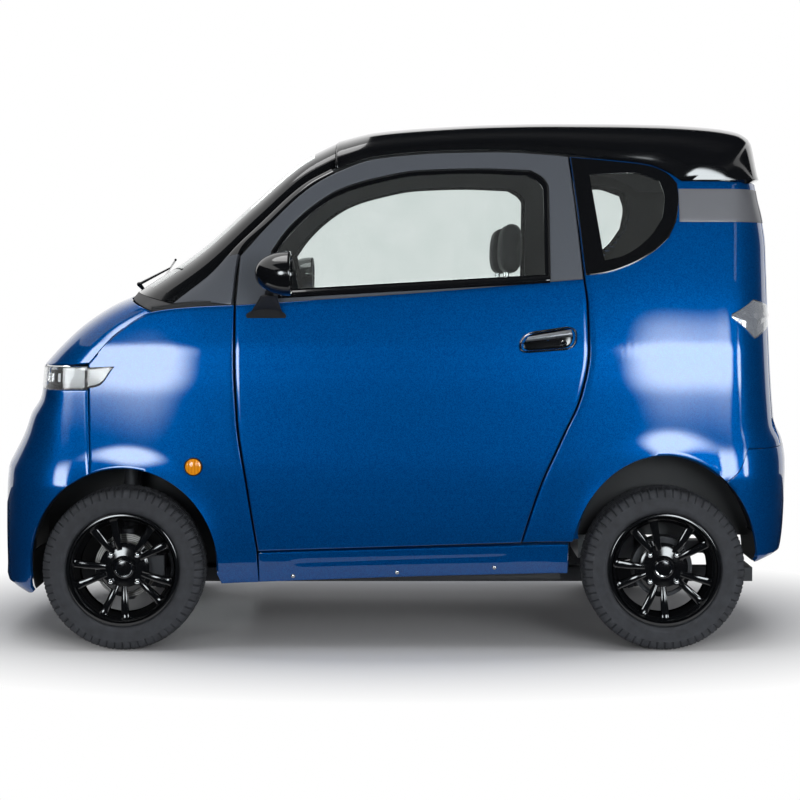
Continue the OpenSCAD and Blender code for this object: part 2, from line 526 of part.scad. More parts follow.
// Crossbars between the rails; the rear one is drilled for a towing bracket
bar_half = rail_y - rail_w / 2;
tow_pitch = 120;
tow_hole_d = 13;
module crossbars() color(STEEL) {
    for (x = [rail_front_x, front_axle_x - 30, rear_axle_x - 420])
        translate([x, -bar_half, rail_low_z]) cube([rail_w, 2 * bar_half, rail_h]);
    difference() {
        translate([rail_rear_x - rail_w, -bar_half, rail_low_z]) cube([rail_w, 2 * bar_half, rail_h]);
        for (side = [-1, 1]) translate([rail_rear_x - rail_w - 1, side * tow_pitch / 2, rail_low_z + rail_h / 2])
            rotate([0, 90, 0]) cylinder(rail_w + 2, d = tow_hole_d);
    }
}
floor_front_x = front_axle_x + 330;
floor_rear_x = rear_axle_x - 320;
floor_half = half_w(0, floor_z) - sill_d - sill_t - 1;
module floor_pan() color(STEEL) translate([floor_front_x, -floor_half, floor_z])
    cube([floor_rear_x - floor_front_x, 2 * floor_half, floor_t]);
// Load floor over the rear axle, on a riser from the floor pan
load_z = 400;
module load_floor() color(STEEL) {
    half = liner_in_y - 10;
    translate([floor_rear_x - floor_t, -half, floor_z + floor_t]) cube([floor_t, 2 * half, load_z - floor_z - floor_t]);
    translate([floor_rear_x - floor_t, -half, load_z]) cube([rear_axle_x + 290 - floor_rear_x, 2 * half, 15]);
}
module dash_panel() color(STEEL) translate([floor_front_x, -floor_half, floor_z + floor_t])
    cube([20, 2 * floor_half, belt_z - 52 - floor_z - floor_t]);

// Wheel arch liners behind the fenders and the quarters
function skin_y(x, z, d) = skin(x < 0 ? nose_s_of(x, z, d) : tail_s_of(x, z, d), z, d).y;
liner_in_y = wheel_y - tyre_w / 2 - 8;
liner_gap = 2.4;
module liner(axle_x, h, a0, a1, depth) {
    function rows(more) = [for (p = reversed(arch(axle_x, h, a0, a1, 16, more)))
        [for (y = [skin_y(p.x, p.y, depth + liner_gap), -liner_in_y]) [p.x, y, p.y]]];
    between(rows(12), rows(6));
}
cheek_t = 6;
module arch_liners() color(RUBBER) both_sides() {
    liner(front_axle_x, front_arch_h, 2, 176, skin_t);
    liner(rear_axle_x, rear_arch_h, 14, 166, wall_t);
    translate([0, cheek_t - liner_in_y - 2, 0]) rotate([90, 0, 0]) linear_extrude(cheek_t)
        polygon(arch(rear_axle_x, rear_arch_h, 14, 166, 16, 9));
}
// Aprons between the front wheels and the nose's inside, standing on the rails
apron_t = 6;
apron_top_z = 620;
module aprons() color(RUBBER) both_sides() translate([rail_front_x, -rail_y - apron_t / 2, floor_z + seat_gap])
    cube([floor_front_x - rail_front_x - seat_gap, apron_t, apron_top_z - floor_z]);

// Steering pivot, suspension arms and struts
kingpin_in = 60;
kingpin_y = wheel_y - kingpin_in;
kingpin_d = 18;
arm_h = 112;
arm_t = 16;
arm_w = 40;
post_t = 14;
top_t = 20;
strut_y = kingpin_y - 56;
strut_d = 42;
strut_top_z = 700;
pin_gap = 0.3;
stub_d = 48;
module front_suspension() color(STEEL) both_sides() {
    rail_out = rail_y + rail_w / 2;
    arm_x = front_axle_x - arm_w / 2;
    low_z = axle_z - arm_h;
    high_z = axle_z + arm_h - arm_t;
    difference() {
        union() {
            translate([arm_x, -kingpin_y, low_z]) cube([arm_w, kingpin_y - rail_out + 1, arm_t]);
            translate([front_axle_x, -kingpin_y, low_z]) cylinder(arm_t, d = arm_w);
            translate([arm_x, -rail_out - post_t, low_z]) cube([arm_w, post_t, strut_top_z - low_z]);
            translate([arm_x, -strut_y, strut_top_z - top_t]) cube([arm_w, strut_y - rail_out, top_t]);
            translate([front_axle_x, -strut_y, high_z]) cylinder(strut_top_z - high_z, d = strut_d);
            translate([arm_x, -kingpin_y, high_z]) cube([arm_w, kingpin_in, arm_t]);
            translate([front_axle_x, -kingpin_y, high_z]) cylinder(arm_t, d = arm_w);
        }
        translate([front_axle_x, -kingpin_y, 0]) cylinder(strut_top_z, d = kingpin_d + 2 * pin_gap);
    }
}
hub_in_y = wheel_y + 6;
disc_y = wheel_y - 30;
disc_t = 10;
caliper_gap = 5;
caliper_w = 68;
caliper_t = 12;
hub_clear_d = 136;
module knuckle_left() color(STEEL) {
    reach = disc_d / 2 + 22;
    slot_y = disc_y + disc_t + caliper_gap;
    translate([front_axle_x, -kingpin_y, axle_z - arm_h]) cylinder(2 * arm_h, d = kingpin_d);
    translate([front_axle_x, -kingpin_y, axle_z - arm_h + arm_t + pin_gap])
        cylinder(2 * (arm_h - arm_t - pin_gap), d = 2 * kingpin_d);
    translate([front_axle_x, -kingpin_y, axle_z]) rotate([90, 0, 0]) cylinder(hub_in_y + 22 - kingpin_y, d = stub_d);
    difference() {
        translate([front_axle_x, -slot_y - caliper_t, axle_z - caliper_w / 2])
            cube([reach, slot_y + caliper_t - kingpin_y, caliper_w]);
        translate([front_axle_x, -slot_y, axle_z]) rotate([-90, 0, 0])
            cylinder(disc_t + 2 * caliper_gap, d = disc_d + 2 * caliper_gap);
        translate([front_axle_x, -slot_y - 40, axle_z]) rotate([-90, 0, 0]) cylinder(40, d = hub_clear_d);
    }
}
module knuckle_right() color(STEEL) mirror([0, 1, 0]) knuckle_left();
module disc_left() color("silver") difference() {
    union() {
        translate([front_axle_x, -disc_y, axle_z]) rotate([90, 0, 0]) cylinder(disc_t, d = disc_d);
        translate([front_axle_x, -disc_y, axle_z]) rotate([90, 0, 0]) cylinder(hub_in_y - disc_y, d = 110);
    }
    translate([front_axle_x, 0, axle_z]) rotate([90, 0, 0]) cylinder(2 * wheel_y, d = stub_d + 2 * pin_gap);
}
module disc_right() color("silver") mirror([0, 1, 0]) disc_left();
// Rear axle tube with drums and stubs, on brackets from the rails
axle_d = 64;
drum_d = 190;
drum_w = 45;
axle_seat = [60, 50];
module rear_axle() color(STEEL) {
    translate([rear_axle_x, wheel_y - drum_w + 1, axle_z]) rotate([90, 0, 0])
        cylinder(2 * (wheel_y - drum_w + 1), d = axle_d);
    both_sides() {
        translate([rear_axle_x, drum_w - wheel_y, axle_z]) rotate([90, 0, 0])
            cylinder(drum_w + hub_in_y - wheel_y - pin_gap, d = drum_d);
        translate([rear_axle_x, -wheel_y, axle_z]) rotate([90, 0, 0]) cylinder(28, d = stub_d);
        translate([rear_axle_x - axle_seat.x / 2, -rail_y - axle_seat.y / 2, floor_z])
            cube([axle_seat.x, axle_seat.y, axle_z - floor_z]);
    }
}
MOTOR = [190, 260, 150];
module motor() color("#3a3c40") translate([rear_axle_x - axle_d / 2 - seat_gap - MOTOR.x, -MOTOR.y / 2, floor_z])
    cube(MOTOR);
battery_h = 160;
battery_l = 430;
module battery() color(STEEL) translate([rear_axle_x - 902, -bar_half, floor_z + floor_t])
    cube([battery_l, 2 * bar_half, battery_h]);

// Seats, dashboard and steering wheel
seat_y = body_w * 0.206;
seat_w = body_w * 0.34;
seat_x = rear_axle_x - 842;
seat_z = floor_z + floor_t + battery_h;
// Side profile of a seat, columns: place behind its reference line, height
SEAT = [[-70, seat_z], [-105, seat_z + 70], [-90, seat_z + 118], [-40, seat_z + 132], [270, seat_z + 100],
    [312, up(0.03)], [330, up(0.15)], [336, up(0.2)], [342, up(0.5)], [366, up(0.55)], [402, up(0.53)],
    [416, up(0.2)], [412, up(0.1)], [376, seat_z + 60], [340, seat_z]];
module seats() color(RUBBER) both_sides() translate([seat_x, -seat_y + seat_w / 2, 0]) rotate([90, 0, 0])
    linear_extrude(seat_w) polygon(SEAT);
wheel_hub = [front_axle_x + 660, -seat_y, belt_z - 117];
column_tilt = 28;
module dashboard() color(RUBBER) {
    x0 = floor_front_x + 20;
    translate([0, floor_half - 20, 0]) rotate([90, 0, 0]) linear_extrude(2 * floor_half - 40)
        translate([x0, belt_z - 54])
            polygon([[0, -238], [0, 0], [90, -8], [170, -68], [180, -128], [120, -228]]);
    translate(wheel_hub) rotate([0, 90 - column_tilt, 0]) translate([0, 0, -220]) cylinder(220 - 22, d = 56);
}
rim_ring_d = 350;
module steering_wheel() color(RUBBER) translate(wheel_hub) rotate([0, 90 - column_tilt, 0]) {
    rotate_extrude() translate([rim_ring_d / 2 - 14, 0]) circle(d = 28);
    translate([0, 0, -22 + seat_gap]) cylinder(36, d = 110);
    for (a = [0, 90, 180]) rotate(a + 90) translate([0, -14, -8]) cube([rim_ring_d / 2 - 16, 28, 14]);
}

// Tyre and rim of one wheel, lying with the outer side towards +Z
module tyre_form() {
    r = wheel_r;
    w = tyre_w / 2;
    f = rim_d / 2;
    half = [[f - 12.6, w - 16], [f + 1, w - 13], [f + 5, w - 4], [mix(f, r, 0.35), w], [mix(f, r, 0.65), w - 1],
        [r - 11, w - 7], [r - 2.5, w - 18], [r, w - 32]];
    rotate_extrude($fn = 72) polygon(concat(half, [for (p = reversed(half)) [p.x, -p.y]]));
}
spoke_n = 5;
module rim_form() {
    f = rim_d / 2;
    w = tyre_w / 2;
    face = 42;
    half = [[f - 8, w - 3], [f, w - 5], [f, w - 11], [f - 13, w - 15], [f - 15, w - 52], [f - 26, w - 60]];
    outer = concat(half, [for (p = reversed(half)) [p.x, -p.y]]);
    inner = [for (p = reversed(outer)) [p.x - 8, p.y * 0.97]];
    hub_back = hub_in_y - wheel_y;
    difference() {
        union() {
            rotate_extrude($fn = 72) polygon(concat(outer, inner));
            translate([0, 0, hub_back]) cylinder(face - hub_back - 6, d = 112);
            translate([0, 0, hub_back]) cylinder(face - hub_back, d = 62);
            for (i = [0:spoke_n - 1], side = [-1, 1]) rotate(i * 360 / spoke_n + 43 + side * 13)
                translate([44, -9, face - 21]) cube([f - 44 - 19, 18, 14]);
        }
        translate([0, 0, hub_back - 1]) cylinder(26, d = stub_d + 2 * pin_gap);
    }
}
// Stand a wheel form at an axle, on the left side or mirrored to the right
module at_wheel(axle_x, right = false) mirror([0, right ? 1 : 0, 0]) translate([axle_x, -wheel_y, axle_z])
    rotate([90, 0, 0]) children();
module tyre_fl() color(RUBBER) at_wheel(front_axle_x) tyre_form();
module tyre_fr() color(RUBBER) at_wheel(front_axle_x, true) tyre_form();
module tyre_rl() color(RUBBER) at_wheel(rear_axle_x) tyre_form();
module tyre_rr() color(RUBBER) at_wheel(rear_axle_x, true) tyre_form();
module rim_fl() color(BLACK) at_wheel(front_axle_x) rim_form();
module rim_fr() color(BLACK) at_wheel(front_axle_x, true) rim_form();
module rim_rl() color(BLACK) at_wheel(rear_axle_x) rim_form();
module rim_rr() color(BLACK) at_wheel(rear_axle_x, true) rim_form();

rail_left();
rail_right();
crossbars();
floor_pan();
load_floor();
dash_panel();
front_bumper();
hood();
fender_left();
fender_right();
headlamps();
repeaters();
cowl();
windscreen();
pillars();
wiper();
roof();
door_left();
door_right();
door_glass_left();
door_glass_right();
mirror_left();
mirror_right();
handle_left();
handle_right();
quarter_left();
quarter_right();
quarter_glass();
sills();
rear_bumper();
tailgate();
tailgate_glass();
tail_lamps();
arch_liners();
aprons();
front_suspension();
knuckle_left();
knuckle_right();
disc_left();
disc_right();
rear_axle();
motor();
battery();
seats();
dashboard();
steering_wheel();
tyre_fl();
tyre_fr();
tyre_rl();
tyre_rr();
rim_fl();
rim_fr();
rim_rl();
rim_rr();
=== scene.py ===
"""Looks of the enclosed mobility scooter: panels, glass, lamps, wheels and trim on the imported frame."""

import math

import bmesh
import bpy
import numpy as np
from bpy.props import FloatProperty, IntProperty, PointerProperty, StringProperty
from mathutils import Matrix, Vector


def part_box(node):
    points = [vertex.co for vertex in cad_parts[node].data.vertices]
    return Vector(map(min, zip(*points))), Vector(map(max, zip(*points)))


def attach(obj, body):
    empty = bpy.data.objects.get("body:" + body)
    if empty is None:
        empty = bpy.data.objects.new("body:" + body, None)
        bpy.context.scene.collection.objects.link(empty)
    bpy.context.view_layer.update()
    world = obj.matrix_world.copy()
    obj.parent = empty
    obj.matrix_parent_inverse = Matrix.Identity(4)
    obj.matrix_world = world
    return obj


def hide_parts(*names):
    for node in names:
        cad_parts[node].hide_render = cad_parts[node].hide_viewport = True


bl_info = {
    "name": "Cabin Scooter Looks",
    "version": (1, 0, 0),
    "blender": (4, 5, 0),
    "location": "3D View > Sidebar > Scooter",
    "description": "Dresses the enclosed mobility scooter with panels, glass, lamps, wheels and trim",
    "category": "Object",
}

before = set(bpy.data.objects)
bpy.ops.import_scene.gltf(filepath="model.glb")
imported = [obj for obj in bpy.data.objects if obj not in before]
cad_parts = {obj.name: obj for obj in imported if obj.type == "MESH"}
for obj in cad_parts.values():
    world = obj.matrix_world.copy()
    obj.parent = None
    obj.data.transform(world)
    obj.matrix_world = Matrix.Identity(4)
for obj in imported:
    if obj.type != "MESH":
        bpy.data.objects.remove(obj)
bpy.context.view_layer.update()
MM = 0.001


def middle(node):
    """Centre of a node's box, as an array."""
    low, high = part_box(node)
    return (np.array(low) + np.array(high)) / 2


FX, FRONT_Y, AXLE_Z = middle("tyre_fl")
RX = middle("tyre_rl")[0]
WHEEL_Y = -FRONT_Y
TYRE_R = AXLE_Z
TYRE_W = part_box("tyre_fl")[1][1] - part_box("tyre_fl")[0][1]
RIM_R = (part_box("rim_fl")[1][2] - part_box("rim_fl")[0][2]) / 2
SEAT_Y = -middle("steering_wheel")[1]


class ScooterSizes(bpy.types.PropertyGroup):
    """Sizes that a user would change."""

    body_width: FloatProperty(name="Body width", description="Widest part of the body, at the wheel flares",
                              default=1.284, unit="LENGTH")
    flare_height: FloatProperty(name="Flare height", description="How far the wheel arches stand out",
                                default=0.010, unit="LENGTH")
    edge_roll: FloatProperty(name="Panel edge", description="Radius that is rolled on a panel's edge",
                             default=0.0032, unit="LENGTH")
    spoke_width: FloatProperty(name="Spoke width", description="Width of one bar of a twin spoke", default=0.020,
                               unit="LENGTH")
    tread_depth: FloatProperty(name="Tread depth", description="Depth of the tyre's grooves", default=0.006,
                               unit="LENGTH")
    tread_blocks: IntProperty(name="Tread blocks", description="Shoulder blocks round one tyre", default=60)
    stitch_pitch: FloatProperty(name="Weave pitch", description="Sets the seat's weave; threads lie 0.63 of it apart",
                                default=0.004, unit="LENGTH")


class ScooterColours(bpy.types.PropertyGroup):
    """Colours as sRGB hex values."""

    paint: StringProperty(name="Paint", description="Metallic body colour", default="#003D7E")
    paint_flake: StringProperty(name="Flake", description="Lighter flake in the paint", default="#006CB6")
    roof: StringProperty(name="Roof", description="Gloss black of roof, pillars and mirrors", default="#0A0B0D")
    frame: StringProperty(name="Window frame", description="Charcoal of the door frames", default="#464A51")
    band: StringProperty(name="Rear band", description="Grey band below the roof's tail", default="#63656A")
    glass: StringProperty(name="Glass", description="Tint of the glass", default="#E4EBE9")
    lamp_amber: StringProperty(name="Amber", description="Side repeater lens", default="#F7A01B")
    plastic: StringProperty(name="Plastic", description="Grained black plastic", default="#191A1C")
    rubber: StringProperty(name="Rubber", description="Tyres and seals", default="#1B1C1E")
    steel: StringProperty(name="Chassis", description="Coated chassis steel", default="#26282B")
    fabric: StringProperty(name="Seat fabric", description="Woven seat cover", default="#1A1B1E")
    # For the eye this grey shows only near the object, as an oval of painted shade round it; further out the floor is
    # seen white
    floor: StringProperty(name="Floor", description="Studio floor", default="#C6C7CA")


def sizes():
    """Sizes of the scene."""
    return bpy.context.scene.scooter_sizes


def colours():
    """Colours of the scene."""
    return bpy.context.scene.scooter_colours


# The body surface is in metres; s is X on the flank and runs on round the nose and the tail.
# Body section, columns: height, how far the side lies inside the widest line; the crease parts the two
TUCK_LOW = np.array([(150, 72), (208, 56), (300, 28), (430, 10), (600, 0), (800, 0), (945, 5)]) * MM
TUCK_HIGH = np.array([(945, 5), (1082, 28), (1242, 62), (1406, 100), (1566, 143), (1682, 175)]) * MM
CREASE_Z = 0.945
CREASE_SOFT = 0.014
# Nose and tail on the centre line, columns: height, reach beyond the axle
NOSE = np.array([(150, 367), (198, 440), (243, 437), (386, 435), (561, 426), (580, 416), (671, 367), (730, 344),
                 (791, 305), (900, 290)]) * MM
TAIL = np.array([(263, 361), (296, 432), (474, 445), (571, 448), (642, 438), (704, 409), (1100, 390), (1262, 390),
                 (1353, 380), (1421, 364), (1500, 352)]) * MM
FRONT_CORNER = FX - 0.172
REAR_CORNER = RX + 0.176
WRAP = 0.700
CORNER_POWER = 3
NOSE_S = FRONT_CORNER - WRAP
TAIL_S = REAR_CORNER + WRAP
ARCH_HALF = 0.298
FRONT_ARCH = 0.318
REAR_ARCH = 0.358
FLARE_WIDTH = 0.070
# Thickness of painted skins, of deep panels, and of glass with its printed border
SKIN_THICK, DEEP_THICK, PANE_THICK, BORDER_THICK = 0.010, 0.026, 0.0046, 0.005
DOOR_GAP = 0.006
SEAL_ROLL = 0.0006
# Grey band below the roof's tail: heights, stand-out and thickness
BAND_LOW, BAND_HIGH, BAND_RISE, BAND_THICK = 1.342, 1.448, 0.0016, 0.0014
# Cells across the vehicle in hood, windscreen, cowl and roof
ACROSS = 72
# Radius at which a turned profile ends on its axle
ON_AXLE = 0.0001
TWIN_SPOKES, SPOKE_TURN, WHEEL_NUTS = 5, 43, 4
CLOTH_FRAMES, CLOTH_PRESSURE = 20, 4
# A wave texture's bands are this far apart at scale 1, in metres
WAVE = 0.314
CAMERA_AT, CAMERA_LENS, CAMERA_SHIFT = (0.016, -6.12, 1.158), 79.4, -0.15
# Share of the world's white that lights the object, and the brightest part of a cloth in reflections
WORLD_FILL, CLOTH_GLOW = 0.42, 13.0


def smooth(x, table):
    """Monotone cubic through a two-column table, held at its end values."""
    xs, ys = np.asarray(table, float).T
    step = np.diff(xs)
    slope = np.diff(ys) / step
    lean = np.concatenate([[slope[0]], np.zeros(len(xs) - 2), [slope[-1]]])
    same = slope[:-1] * slope[1:] > 0
    safe = np.where(np.abs(slope) < 1e-12, 1e-12, slope)
    near, far = 2 * step[1:] + step[:-1], step[1:] + 2 * step[:-1]
    lean[1:-1] = np.where(same, (near + far) / (near / safe[:-1] + far / safe[1:]), 0)
    x = np.clip(x, xs[0], xs[-1])
    i = np.clip(np.searchsorted(xs, x, side="right") - 1, 0, len(xs) - 2)
    t = (x - xs[i]) / step[i]
    return (ys[i] * (1 + 2 * t) * (1 - t) ** 2 + lean[i] * step[i] * t * (1 - t) ** 2
            + ys[i + 1] * t * t * (3 - 2 * t) + lean[i + 1] * step[i] * t * t * (t - 1))


def run_of(points):
    """Length along a polyline at each of its points."""
    return np.concatenate([[0], np.cumsum(np.linalg.norm(np.diff(points, axis=0), axis=1))])


def spread(points, n):
    """n + 1 points evenly spread along a polyline."""
    run = run_of(points)
    at = np.linspace(0, run[-1], n + 1)
    return np.stack([np.interp(at, run, c) for c in points.T], 1)


def curve(points, n):
    """n + 1 points evenly spread along a smooth curve through the given ones."""
    points = np.asarray(points, float)
    if len(points) > 2:
        run = run_of(points)
        fine = np.linspace(0, run[-1], 40 * len(points))
        points = np.stack([smooth(fine, np.stack([run, c], 1)) for c in points.T], 1)
    return spread(points, n)


def straight(a, b, n):
    """n + 1 points on a line."""
    return curve([a, b], n)


def joined(*parts):
    """One edge from curves that meet end to end."""
    return np.concatenate([p[:-1] for p in parts[:-1]] + [parts[-1]])


def from_front(*points):
    """Points in mm behind the front axle, columns: X, Z."""
    return np.array(points, float) * MM + (FX, 0)


def from_rear(*points):
    """Points in mm behind the rear axle, columns: X, Z."""
    return np.array(points, float) * MM + (RX, 0)


def flare(x, z, axle_x, height):
    """Stand-out of the wheel arch, fading with the distance from its edge."""
    past = np.hypot((x - axle_x) / ARCH_HALF, (z - AXLE_Z) / np.where(z > AXLE_Z, height, ARCH_HALF)) - 1
    return sizes().flare_height * np.maximum(0, 1 - np.maximum(past, 0) * ARCH_HALF / FLARE_WIDTH) ** 2


def half_width(x, z):
    """Half of the body's width at a place of the flank."""
    tuck = sum(share * np.where(z + off < CREASE_Z, smooth(z + off, TUCK_LOW), smooth(z + off, TUCK_HIGH))
               for off, share in ((-CREASE_SOFT, 0.25), (0, 0.5), (CREASE_SOFT, 0.25)))
    taper = smooth(x, [(FRONT_CORNER, 0.018), (FX + 0.25, 0), (RX - 0.15, 0), (REAR_CORNER, 0.012)])
    return (sizes().body_width / 2 - sizes().flare_height - tuck - taper
            + np.maximum(flare(x, z, FX, FRONT_ARCH), flare(x, z, RX, REAR_ARCH)))


def nose_reach(z):
    """Reach of the nose beyond its corner."""
    return smooth(z, NOSE) + FRONT_CORNER - FX


def tail_reach(z):
    """Reach of the tail beyond its corner."""
    return smooth(z, TAIL) + RX - REAR_CORNER


def skin(grid, depth=0.0):
    """Points of the left side's skin for an array of unrolled (s, z), the given depth under it."""
    s, z = grid[..., 0], grid[..., 1]
    nose = np.clip((FRONT_CORNER - s) / WRAP, 0, 1)
    tail = np.clip((s - REAR_CORNER) / WRAP, 0, 1)
    turn = (nose + tail) * math.pi / 2
    out = np.maximum(np.sin(turn), 0) ** (2 / CORNER_POWER)
    side = np.maximum(np.cos(turn), 0) ** (2 / CORNER_POWER)
    base = np.clip(s, FRONT_CORNER, REAR_CORNER)
    reach = np.where(nose > 0, -(nose_reach(z) - depth), tail_reach(z) - depth)
    return np.stack([base + reach * out, -(half_width(base, z) - depth) * side, z], -1)


def nose_s_of(x, z):
    """Unrolled place on the nose of a point that is given by its X."""
    k = np.clip((FRONT_CORNER - x) / nose_reach(z), 0, 1) ** (CORNER_POWER / 2)
    return np.where(x >= FRONT_CORNER, x, FRONT_CORNER - WRAP * np.arcsin(k) * 2 / math.pi)


def tail_s_of(x, z):
    """Unrolled place on the tail of a point that is given by its X."""
    k = np.clip((x - REAR_CORNER) / tail_reach(z), 0, 1) ** (CORNER_POWER / 2)
    return np.where(x <= REAR_CORNER, x, REAR_CORNER + WRAP * np.arcsin(k) * 2 / math.pi)


def arch(axle_x, height, a0, a1, n):
    """Edge of a wheel arch from angle a0 to a1 in degrees, counted from the rear horizontal."""
    a = np.radians(np.linspace(a0, a1, n + 1))
    up = np.where(np.sin(a) > 0, height, ARCH_HALF)
    return np.stack([axle_x + ARCH_HALF * np.cos(a), AXLE_Z + up * np.sin(a)], 1)


def patch(low, high, left, right):
    """Grid between four edges: low and high run along s, left and right run up."""
    u = np.linspace(0, 1, len(low))[:, None, None]
    v = np.linspace(0, 1, len(left))[None, :, None]
    corners = ((1 - u) * (1 - v) * low[0] + u * (1 - v) * low[-1] + (1 - u) * v * high[0] + u * v * high[-1])
    return ((1 - v) * low[:, None] + v * high[:, None] + (1 - u) * left[None] + u * right[None] - corners)


def between(low, high, m):
    """Grid from a low edge to a high one, with straight ends."""
    return patch(low, high, straight(low[0], high[0], m), straight(low[-1], high[-1], m))


def quad(a, b, c, d, n, m):
    """Grid with straight edges, low from a to b and high from c to d."""
    return between(straight(a, b, n), straight(c, d, n), m)


def ring(inner, outer, n):
    """Grid from a closed inner outline to a closed outer one, both without their last point."""
    v = np.linspace(0, 1, n + 1)[None, :, None]
    return (1 - v) * inner[:, None] + v * outer[:, None]


def bridge(edge, mid, n):
    """Grid across the vehicle: each row goes from its left edge point over the middle to the right."""
    a = np.linspace(0, math.pi, n + 1)
    over = np.maximum(np.sin(a), 0) ** (2 / CORNER_POWER)
    across = np.sign(np.cos(a)) * np.abs(np.cos(a)) ** (2 / CORNER_POWER)
    x = edge[:, :1] + (mid[:, :1] - edge[:, :1]) * over
    z = edge[:, 2:] + (mid[:, 1:] - edge[:, 2:]) * over
    return np.stack([x, edge[:, 1:2] * across, z], -1)


def on_side(points, depth):
    """Points of the left flank for (X, Z) points, the given depth under the skin."""
    return np.stack([points[:, 0], -(half_width(points[:, 0], points[:, 1]) - depth), points[:, 1]], 1)


def normals_of(grid, loop):
    """Unit normals of a grid of points."""
    if loop:
        along = np.roll(grid, -1, 0) - np.roll(grid, 1, 0)
    else:
        along = np.gradient(grid, axis=0)
    out = np.cross(along, np.gradient(grid, axis=1))
    return out / np.maximum(np.linalg.norm(out, axis=-1, keepdims=True), 1e-12)


def edge_rows(grid, depth, radius):
    """Add rows at both ends of a grid's first axis that bend down by a rolled edge."""
    def roll(first, second):
        way = second - first
        share = np.minimum(radius / np.maximum(np.linalg.norm(way, axis=-1, keepdims=True), 1e-9), 0.7)
        return [first + way * share * f for f in (0, 0.12, 0.4, 1)]
    drops = [radius * (1 - math.sqrt(2 * f - f * f)) for f in (0, 0.12, 0.4, 1)]
    start, end = roll(grid[0], grid[1]), roll(grid[-1], grid[-2])[::-1]
    grid = np.concatenate([np.stack(start), grid[1:-1], np.stack(end)])
    first = np.stack([np.maximum(depth[0], d) for d in drops])
    last = np.stack([np.maximum(depth[-1], d) for d in drops[::-1]])
    return grid, np.concatenate([first, depth[1:-1], last])


def panel_mesh(grid, thickness, radius, loop=False, keep=None):
    """Vertices and faces of a closed panel with rolled edges; faces are (corners, True on the outer side)."""
    bend = normals_of(grid, loop)
    both = np.concatenate([grid, bend], -1)
    depth = np.zeros(grid.shape[:2])
    if radius > 0:
        if not loop:
            both, depth = edge_rows(both, depth, radius)
        both, depth = (a.swapaxes(0, 1) for a in edge_rows(both.swapaxes(0, 1), depth.swapaxes(0, 1), radius))
    points, bend = both[..., :3], both[..., 3:]
    outer = points - bend * depth[..., None]
    inner = points - bend * thickness
    n, m = depth.shape
    cells = n if loop else n - 1
    live = np.ones((cells, m - 1), bool) if keep is None else keep(points[:cells, :m - 1])
    faces = []

    def at(i, j, side):
        return side * n * m + (i % n) * m + j

    def open_at(i, j):
        if loop:
            i %= n
        return not (0 <= i < cells and 0 <= j < m - 1 and live[i, j])
    for i in range(cells):
        for j in range(m - 1):
            if not live[i, j]:
                continue
            faces.append(((at(i, j, 0), at(i + 1, j, 0), at(i + 1, j + 1, 0), at(i, j + 1, 0)), True))
            faces.append(((at(i, j + 1, 1), at(i + 1, j + 1, 1), at(i + 1, j, 1), at(i, j, 1)), False))
            for di, dj, a, b in ((-1, 0, (i, j), (i, j + 1)), (1, 0, (i + 1, j + 1), (i + 1, j)),
                                 (0, -1, (i + 1, j), (i, j)), (0, 1, (i, j + 1), (i + 1, j + 1))):
                if open_at(i + di, j + dj):
                    faces.append(((at(*a, 0), at(*b, 0), at(*b, 1), at(*a, 1)), True))
    return np.concatenate([outer.reshape(-1, 3), inner.reshape(-1, 3)]), faces


def piece(name, points, faces, body, slot, looks, sharp=32, replaces=(), picks=None):
    """Make one mesh object that rides on a body; picks gives each face's place in looks."""
    mesh = bpy.data.meshes.new(name)
    mesh.from_pydata(np.asarray(points, float).tolist(), [], [list(f) for f in faces])
    for look in looks:
        mesh.materials.append(look)
    if picks is not None:
        mesh.polygons.foreach_set("material_index", picks)
    made = bmesh.new()
    made.from_mesh(mesh)
    loose = [v for v in made.verts if not v.link_faces]
    bmesh.ops.delete(made, geom=loose, context="VERTS")
    bmesh.ops.recalc_face_normals(made, faces=made.faces)
    made.to_mesh(mesh)
    made.free()
    mesh.shade_smooth()
    mesh.set_sharp_from_angle(angle=math.radians(sharp))
    obj = bpy.data.objects.new(name, mesh)
    bpy.context.collection.objects.link(obj)
    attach(obj, body)
    if replaces:
        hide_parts(*replaces)
    return obj


def flipped(points):
    """Points mirrored to the right side."""
    return np.asarray(points) * (1, -1, 1)


def sided(points, mirror):
    """Points of the left side, mirrored where the piece is on the right."""
    return flipped(points) if mirror else points


def loft_faces(rows, columns, wrap=False):
    """Faces between rows of points that are closed loops; the last row meets the first one or both end in caps."""
    faces = [(i * columns + j, (i + 1) % rows * columns + j, (i + 1) % rows * columns + (j + 1) % columns,
              i * columns + (j + 1) % columns) for i in range(rows if wrap else rows - 1) for j in range(columns)]
    if not wrap:
        faces += [tuple(range(columns))[::-1], tuple((rows - 1) * columns + j for j in range(columns))]
    return faces


def panel(name, grid, thickness, body, slot, looks, radius=None, loop=False, keep=None, mirror=False, replaces=(),
          sharp=32):
    """Make a closed panel from a grid of points, the first look outside and the last one inside."""
    points, faces = panel_mesh(grid, thickness, sizes().edge_roll if radius is None else radius, loop, keep)
    picks = [0 if out else len(looks) - 1 for _, out in faces]
    return piece(name, sided(points, mirror), [f for f, _ in faces], body, slot, looks, sharp, replaces, picks)


SIDES = (("left", False), ("right", True))


def turned(profile, n, centre, mirror=False):
    """Points and faces of a profile of (radius, place along the axle outwards) turned round an axle along Y."""
    profile = np.asarray(profile, float)
    a = np.linspace(0, 2 * math.pi, n, endpoint=False)
    x = centre[0] + profile[:, 0] * np.cos(a)[:, None]
    z = centre[2] + profile[:, 0] * np.sin(a)[:, None]
    y = np.broadcast_to(centre[1] - profile[:, 1], x.shape)
    points = np.stack([x, y, z], -1).reshape(-1, 3)
    return sided(points, mirror), loft_faces(n, len(profile), wrap=True)


def together(*parts):
    """One set of points and faces from several."""
    points, faces, count = [], [], 0
    for p, f in parts:
        points.append(p)
        faces += [tuple(v + count for v in face) for face in f]
        count += len(p)
    return np.concatenate(points), faces


